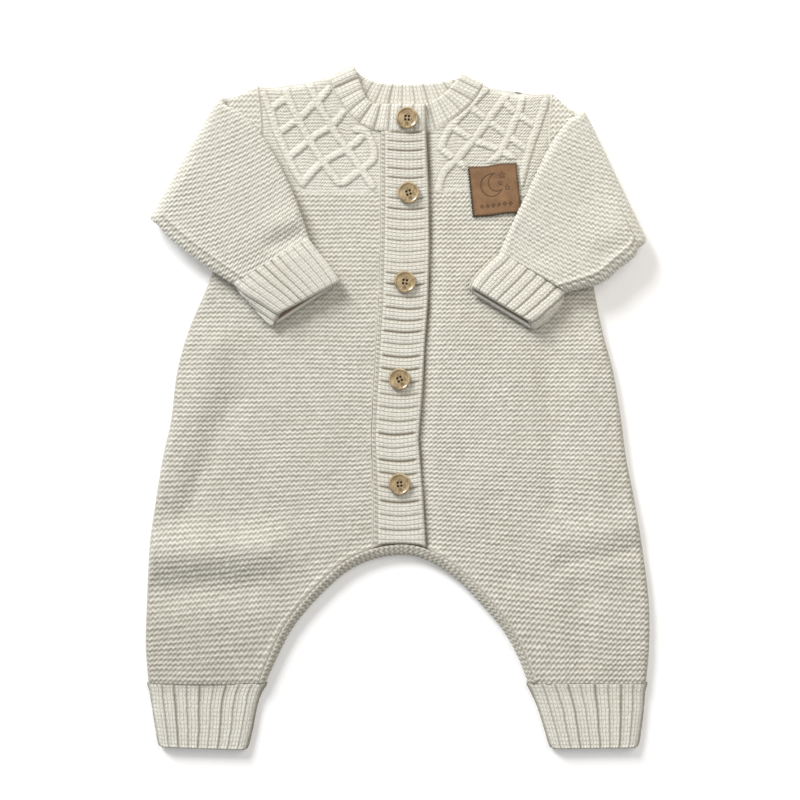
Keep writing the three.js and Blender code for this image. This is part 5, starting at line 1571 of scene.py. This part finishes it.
def drilled_button():
    body = bpy.data.objects.new("button_blank", button_mesh())
    bpy.context.scene.collection.objects.link(body)
    drills = bmesh.new()
    for i in (-1, 1):
        for j in (-1, 1):
            made = bmesh.ops.create_cone(drills, cap_ends=True, segments=20, radius1=BUTTON["hole"] * MM,
                                         radius2=BUTTON["hole"] * MM, depth=12 * MM)
            offset = (i * BUTTON["hole_spread"] * MM, j * BUTTON["hole_spread"] * MM, 1.5 * MM)
            bmesh.ops.translate(drills, verts=made["verts"], vec=offset)
    tool_mesh = bpy.data.meshes.new("button_drill")
    drills.to_mesh(tool_mesh)
    drills.free()
    tool = bpy.data.objects.new("button_drill", tool_mesh)
    bpy.context.scene.collection.objects.link(tool)
    cut = body.modifiers.new("holes", "BOOLEAN")
    cut.operation = "DIFFERENCE"
    cut.solver = "EXACT"
    cut.object = tool
    edge = body.modifiers.new("edge", "BEVEL")
    edge.width = 0.12 * MM
    edge.segments = 2
    edge.limit_method = "ANGLE"
    edge.angle_limit = math.radians(40)
    evaluated = body.evaluated_get(bpy.context.evaluated_depsgraph_get())
    mesh = bpy.data.meshes.new_from_object(evaluated)
    bpy.data.objects.remove(body)
    bpy.data.objects.remove(tool)
    mesh.shade_smooth()
    mesh.set_sharp_from_angle(angle=math.radians(35))
    return mesh


def thread_mesh():
    """Sewing thread that fills the holes and shows as dark spots in them."""
    shell = Shell()
    spread = BUTTON["hole_spread"]
    for i in (-1, 1):
        for j in (-1, 1):
            x, y = i * spread, j * spread
            rings = []
            for radius, z in ((0.75, -0.7), (0.75, 1.45), (0.4, 1.75)):
                turn = np.linspace(0, 2 * math.pi, 10, endpoint=False)
                ring = np.stack([x + radius * np.cos(turn), y + radius * np.sin(turn), np.full(10, z)], 1)
                rings.append(shell.ring(ring, 0, 1, np.linspace(0, 2, 10, endpoint=False)))
            shell.stitch_all(rings)
            shell.fan(rings[0])
            shell.fan(rings[-1])
    points = np.concatenate(shell.points) * MM
    return mesh_from("thread", points, np.concatenate(shell.faces))


# Materials

def new_material(name):
    material = bpy.data.materials.new(name)
    material.use_nodes = True
    nodes = material.node_tree.nodes
    nodes.clear()
    output = nodes.new("ShaderNodeOutputMaterial")
    shader = nodes.new("ShaderNodeBsdfPrincipled")
    material.node_tree.links.new(shader.outputs[0], output.inputs[0])
    return material, nodes, material.node_tree.links, shader


def noise_node(nodes, links, coordinate, scale, detail=2.0, roughness=0.5):
    noise = nodes.new("ShaderNodeTexNoise")
    noise.inputs["Scale"].default_value = scale
    noise.inputs["Detail"].default_value = detail
    noise.inputs["Roughness"].default_value = roughness
    links.new(coordinate, noise.inputs["Vector"])
    return noise.outputs["Fac"]


def ramp_node(nodes, links, value, stops):
    ramp = nodes.new("ShaderNodeValToRGB")
    for i, (place, colour) in enumerate(stops):
        element = ramp.color_ramp.elements[i] if i < 2 else ramp.color_ramp.elements.new(place)
        element.position = place
        element.color = (*colour, 1)
    links.new(value, ramp.inputs["Fac"])
    return ramp.outputs["Color"]


def mix_node(nodes, links, kind, factor, a, b):
    node = nodes.new("ShaderNodeMix")
    node.data_type = "RGBA"
    node.blend_type = kind
    if isinstance(factor, float):
        node.inputs["Factor"].default_value = factor
    else:
        links.new(factor, node.inputs["Factor"])
    for socket, value in (("A", a), ("B", b)):
        links.new(value, [s for s in node.inputs if s.name == socket and s.type == "RGBA"][0])
    return [s for s in node.outputs if s.type == "RGBA"][0]


def bump_node(nodes, links, height, strength, distance):
    bump = nodes.new("ShaderNodeBump")
    bump.inputs["Strength"].default_value = strength
    bump.inputs["Distance"].default_value = distance
    links.new(height, bump.inputs["Height"])
    return bump.outputs["Normal"]


def math_node(nodes, links, operation, *values):
    node = nodes.new("ShaderNodeMath")
    node.operation = operation
    for i, value in enumerate(values):
        if isinstance(value, (int, float)):
            node.inputs[i].default_value = value
        else:
            links.new(value, node.inputs[i])
    return node.outputs[0]


def garter_pattern(nodes, links, grain, across, run):
    """0 on the yarn of each leaning stitch and 1 in the pits between."""
    noise = nodes.new("ShaderNodeTexNoise")
    noise.inputs["Scale"].default_value = 0.9
    links.new(grain, noise.inputs["Vector"])
    shift = nodes.new("ShaderNodeSeparateXYZ")
    links.new(noise.outputs["Color"], shift.inputs[0])
    run = math_node(nodes, links, "MULTIPLY_ADD", shift.outputs[0], STITCH_SPREAD, run)
    across = math_node(nodes, links, "MULTIPLY_ADD", shift.outputs[1], STITCH_SPREAD, across)
    total = 0.0
    for wave, columns, rows in (("row", 0, 1), ("lean", 1, -1), ("cross", 1, 1)):
        angle = math_node(nodes, links, "MULTIPLY", math_node(nodes, links, "MULTIPLY_ADD", run, rows,
                          math_node(nodes, links, "MULTIPLY", across, columns)), 2 * math.pi)
        total = math_node(nodes, links, "MULTIPLY_ADD", math_node(nodes, links, "COSINE", angle),
                          STITCH_WAVES[wave], total)
    return ramp_node(nodes, links, math_node(nodes, links, "MULTIPLY_ADD", total, -0.5, 0.5),
                     [(0.25, (0, 0, 0)), (0.85, (1, 1, 1))])


def plait_pattern(nodes, links, grain, across, run):
    """0 on the yarn of each V stitch and 1 between the stitches and their columns."""
    place = math_node(nodes, links, "FRACT", across)
    side = math_node(nodes, links, "ABSOLUTE", math_node(nodes, links, "MULTIPLY_ADD", place, 2, -1))
    slant = math_node(nodes, links, "MULTIPLY", side, 0.45)
    step = math_node(nodes, links, "FRACT", math_node(nodes, links, "ADD", slant, run))
    leg = math_node(nodes, links, "ABSOLUTE", math_node(nodes, links, "MULTIPLY_ADD", step, 2, -1))
    edge = math_node(nodes, links, "MAXIMUM", math_node(nodes, links, "MULTIPLY", leg, 0.9), side)
    return ramp_node(nodes, links, edge, [(0.62, (0, 0, 0)), (1.05, (1, 1, 1))])


def yarn_material(name, shadow, dark, light, pattern=None, contrast=0.7):
    """Matt cotton yarn: painted shade in the pits between stitches, faint uneven dye, fine strands and fuzz."""
    material, nodes, links, shader = new_material(name)
    where = nodes.new("ShaderNodeTexCoord").outputs["Object"]
    tone = nodes.new("ShaderNodeVertexColor")
    tone.layer_name = "tone"
    # The tone attribute carries painted shade of grooves, pits, clefts and edges, ramped from shadow to light
    base = ramp_node(nodes, links, tone.outputs["Color"], [(0.0, shadow), (0.35, dark), (0.9, light)])
    cloudy = noise_node(nodes, links, where, 22, 3)
    tint = ramp_node(nodes, links, cloudy, [(0.3, (0.95, 0.945, 0.93)), (0.7, (1.0, 1.0, 1.0))])
    base = mix_node(nodes, links, "MULTIPLY", 1.0, base, tint)
    flecks = noise_node(nodes, links, where, 700, 2)
    speck = ramp_node(nodes, links, flecks, [(0.3, (0.86, 0.85, 0.82)), (0.62, (1.0, 1.0, 1.0))])
    base = mix_node(nodes, links, "MULTIPLY", 1.0, base, speck)
    fibres = noise_node(nodes, links, where, 1500, 3, 0.65)
    normal = bump_node(nodes, links, fibres, 0.35, 0.0004)
    if pattern:
        attribute = nodes.new("ShaderNodeAttribute")
        attribute.attribute_name = "grain"
        grain = attribute.outputs["Vector"]
        parts = nodes.new("ShaderNodeSeparateXYZ")
        links.new(grain, parts.inputs[0])
        across, run, amount = parts.outputs
        pits = math_node(nodes, links, "MULTIPLY", pattern(nodes, links, grain, across, run), amount)
        # Painted shade: the pattern's pits darken the yarn colour
        wear_and_pit_shade = ramp_node(nodes, links, pits, [(0.0, (1.0, 1.0, 1.0)), (1.0, (contrast, contrast * 0.99, contrast * 0.96))])
        base = mix_node(nodes, links, "MULTIPLY", 1.0, base, wear_and_pit_shade)
        stretched = nodes.new("ShaderNodeVectorMath")
        stretched.operation = "MULTIPLY"
        stretched.inputs[1].default_value = (5.5, 1.3, 0)
        links.new(grain, stretched.inputs[0])
        strands = noise_node(nodes, links, stretched.outputs[0], 1, 2, 0.6)
        streak = ramp_node(nodes, links, strands, [(0.3, (0.88, 0.875, 0.86)), (0.6, (1.0, 1.0, 1.0))])
        base = mix_node(nodes, links, "MULTIPLY", 1.0, base, streak)
        relief = math_node(nodes, links, "ADD", math_node(nodes, links, "MULTIPLY", pits, -1),
                           math_node(nodes, links, "MULTIPLY", strands, 0.5))
        bump = nodes.new("ShaderNodeBump")
        bump.inputs["Strength"].default_value = 0.6
        bump.inputs["Distance"].default_value = 0.0006
        links.new(relief, bump.inputs["Height"])
        links.new(normal, bump.inputs["Normal"])
        normal = bump.outputs["Normal"]
    links.new(base, shader.inputs["Base Color"])
    shader.inputs["Roughness"].default_value = 0.92
    shader.inputs["Sheen Weight"].default_value = 0.25
    shader.inputs["Sheen Roughness"].default_value = 0.55
    shader.inputs["Sheen Tint"].default_value = (1.0, 0.97, 0.9, 1)
    shader.inputs["Specular IOR Level"].default_value = 0.2
    links.new(normal, shader.inputs["Normal"])
    return material


def leather_material():
    """Tanned leather: mottled, darker towards its edges and in the pressed lines."""
    material, nodes, links, shader = new_material("tan_leather")
    where = nodes.new("ShaderNodeTexCoord").outputs["Object"]
    tone = nodes.new("ShaderNodeVertexColor")
    tone.layer_name = "tone"
    base = ramp_node(nodes, links, tone.outputs["Color"],
                     [(0.0, (0.035, 0.02, 0.012)), (0.4, (0.12, 0.065, 0.032)), (1.0, (0.30, 0.165, 0.08))])
    mottle = noise_node(nodes, links, where, 170, 4, 0.6)
    tint = ramp_node(nodes, links, mottle, [(0.3, (0.72, 0.70, 0.68)), (0.65, (1.0, 1.0, 1.0))])
    base = mix_node(nodes, links, "MULTIPLY", 1.0, base, tint)
    links.new(base, shader.inputs["Base Color"])
    shader.inputs["Roughness"].default_value = 0.62
    shader.inputs["Specular IOR Level"].default_value = 0.35
    pores = noise_node(nodes, links, where, 1100, 3, 0.6)
    links.new(bump_node(nodes, links, pores, 0.4, 0.0003), shader.inputs["Normal"])
    return material


def resin_material():
    """Golden horn-like resin with soft swirls."""
    material, nodes, links, shader = new_material("golden_resin")
    where = nodes.new("ShaderNodeTexCoord").outputs["Object"]
    swirl = nodes.new("ShaderNodeTexNoise")
    swirl.inputs["Scale"].default_value = 150
    swirl.inputs["Detail"].default_value = 3
    swirl.inputs["Distortion"].default_value = 1.6
    links.new(where, swirl.inputs["Vector"])
    base = ramp_node(nodes, links, swirl.outputs["Fac"],
                     [(0.3, (0.16, 0.11, 0.055)), (0.75, (0.62, 0.48, 0.28)), (0.5, (0.38, 0.28, 0.15))])
    links.new(base, shader.inputs["Base Color"])
    shader.inputs["Roughness"].default_value = 0.28
    shader.inputs["Coat Weight"].default_value = 0.4
    shader.inputs["Coat Roughness"].default_value = 0.12
    return material


knit = yarn_material("cream_knit", (0.13, 0.10, 0.065), (0.44, 0.41, 0.34), (0.845, 0.84, 0.77), garter_pattern,
                     0.65)
ribbing = yarn_material("cream_ribbing", (0.17, 0.11, 0.06), (0.46, 0.43, 0.36), (0.845, 0.84, 0.77), plait_pattern,
                        0.8)
resin = resin_material()
leather = leather_material()
thread_material = yarn_material("thread", (0.03, 0.02, 0.012), (0.05, 0.035, 0.022), (0.09, 0.06, 0.035))


# The garment

def dress(piece, node):
    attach(piece, "root")
    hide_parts(node)


dress(back_panel(), "back")
for side in ("left", "right"):
    dress(front_panel(side), f"front_{side}")
    dress(sleeve(side), f"sleeve_{side}")
    dress(cuff(f"sleeve_cuff_{side}_rib", SLEEVE_CUFF[side], HALF_HEIGHT + 2 * SLEEVE_BEND_RADIUS, 0.62),
          f"sleeve_cuff_{side}")
    dress(cuff(f"leg_cuff_{side}_rib", LEG_CUFF[side], HALF_HEIGHT), f"leg_cuff_{side}")
dress(neckband(), "neckband")
dress(placket(), "placket")
dress(button_band(), "button_band")

dress(patch(), "patch")
whipping = patch_whipping()
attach(whipping, "root")

button_data = drilled_button()
button_base = OVERLAP["top"] + RIB + SEAM
for number, (x, y) in enumerate(BUTTON_PLACES, 1):
    body = link_piece(f"button_{number}_resin", button_data.copy(), resin)
    body.location = Vector((x, y, button_base)) * MM
    body.rotation_euler.z = BUTTON_TURN[number - 1]
    dress(body, f"button_{number}")
    thread = link_piece(f"button_{number}_thread", thread_mesh(), thread_material)
    thread.location = Vector((x, y, button_base)) * MM
    thread.rotation_euler.z = BUTTON_TURN[number - 1]
    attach(thread, "root")


# Studio: pale floor, soft light from beyond the neck, camera straight above

def studio():
    mesh = bpy.data.meshes.new("floor")
    size = 3.0
    mesh.from_pydata([(-size, -size, 0), (size, -size, 0), (size, size, 0), (-size, size, 0)], [], [(0, 1, 2, 3)])
    material, nodes, links, shader = new_material("pale_floor")
    shader.inputs["Base Color"].default_value = (0.95, 0.95, 0.95, 1)
    shader.inputs["Roughness"].default_value = 0.9
    shader.inputs["Emission Color"].default_value = (1, 1, 1, 1)
    shader.inputs["Emission Strength"].default_value = 0.13
    floor = link_piece("floor", mesh, material)
    floor.location.z = -0.0002


def area_light(name, place, target, size, power, colour=(1, 1, 1)):
    data = bpy.data.lights.new(name, "AREA")
    data.shape = "DISK"
    data.size = size
    data.energy = power
    data.color = colour
    light = bpy.data.objects.new(name, data)
    light.location = place
    light.rotation_euler = (Vector(target) - Vector(place)).to_track_quat("-Z", "Y").to_euler()
    bpy.context.scene.collection.objects.link(light)


def lighting():
    area_light("key", (-2.25, 3.05, 2.1), (0, 0, 0), 1.8, 209)
    area_light("fill", (0.6, 0.5, 0.95), (0.1, 0.1, 0), 0.9, 5, (1, 0.93, 0.82))
    world = bpy.data.worlds.new("studio")
    world.use_nodes = True
    world.node_tree.nodes["Background"].inputs["Color"].default_value = (0.98, 0.98, 1, 1)
    world.node_tree.nodes["Background"].inputs["Strength"].default_value = 0.38
    bpy.context.scene.world = world


PIXEL = 0.73
IMAGE_SIZE = 800
AXIS_PIXEL = {"x": 397.5, "y": 408}
LENS = 85
SENSOR = 36
CLOTH_TOP = 9


def camera():
    data = bpy.data.cameras.new("camera")
    data.lens = LENS
    data.sensor_width = SENSOR
    made = bpy.data.objects.new("camera", data)
    view = IMAGE_SIZE * PIXEL
    x = (IMAGE_SIZE / 2 - AXIS_PIXEL["x"]) * PIXEL
    y = (AXIS_PIXEL["y"] - IMAGE_SIZE / 2) * PIXEL
    made.location = Vector((x, y, view * LENS / SENSOR + CLOTH_TOP)) * MM
    bpy.context.scene.collection.objects.link(made)
    bpy.context.scene.camera = made


studio()
lighting()
camera()
bpy.context.scene.view_settings.view_transform = "Standard"
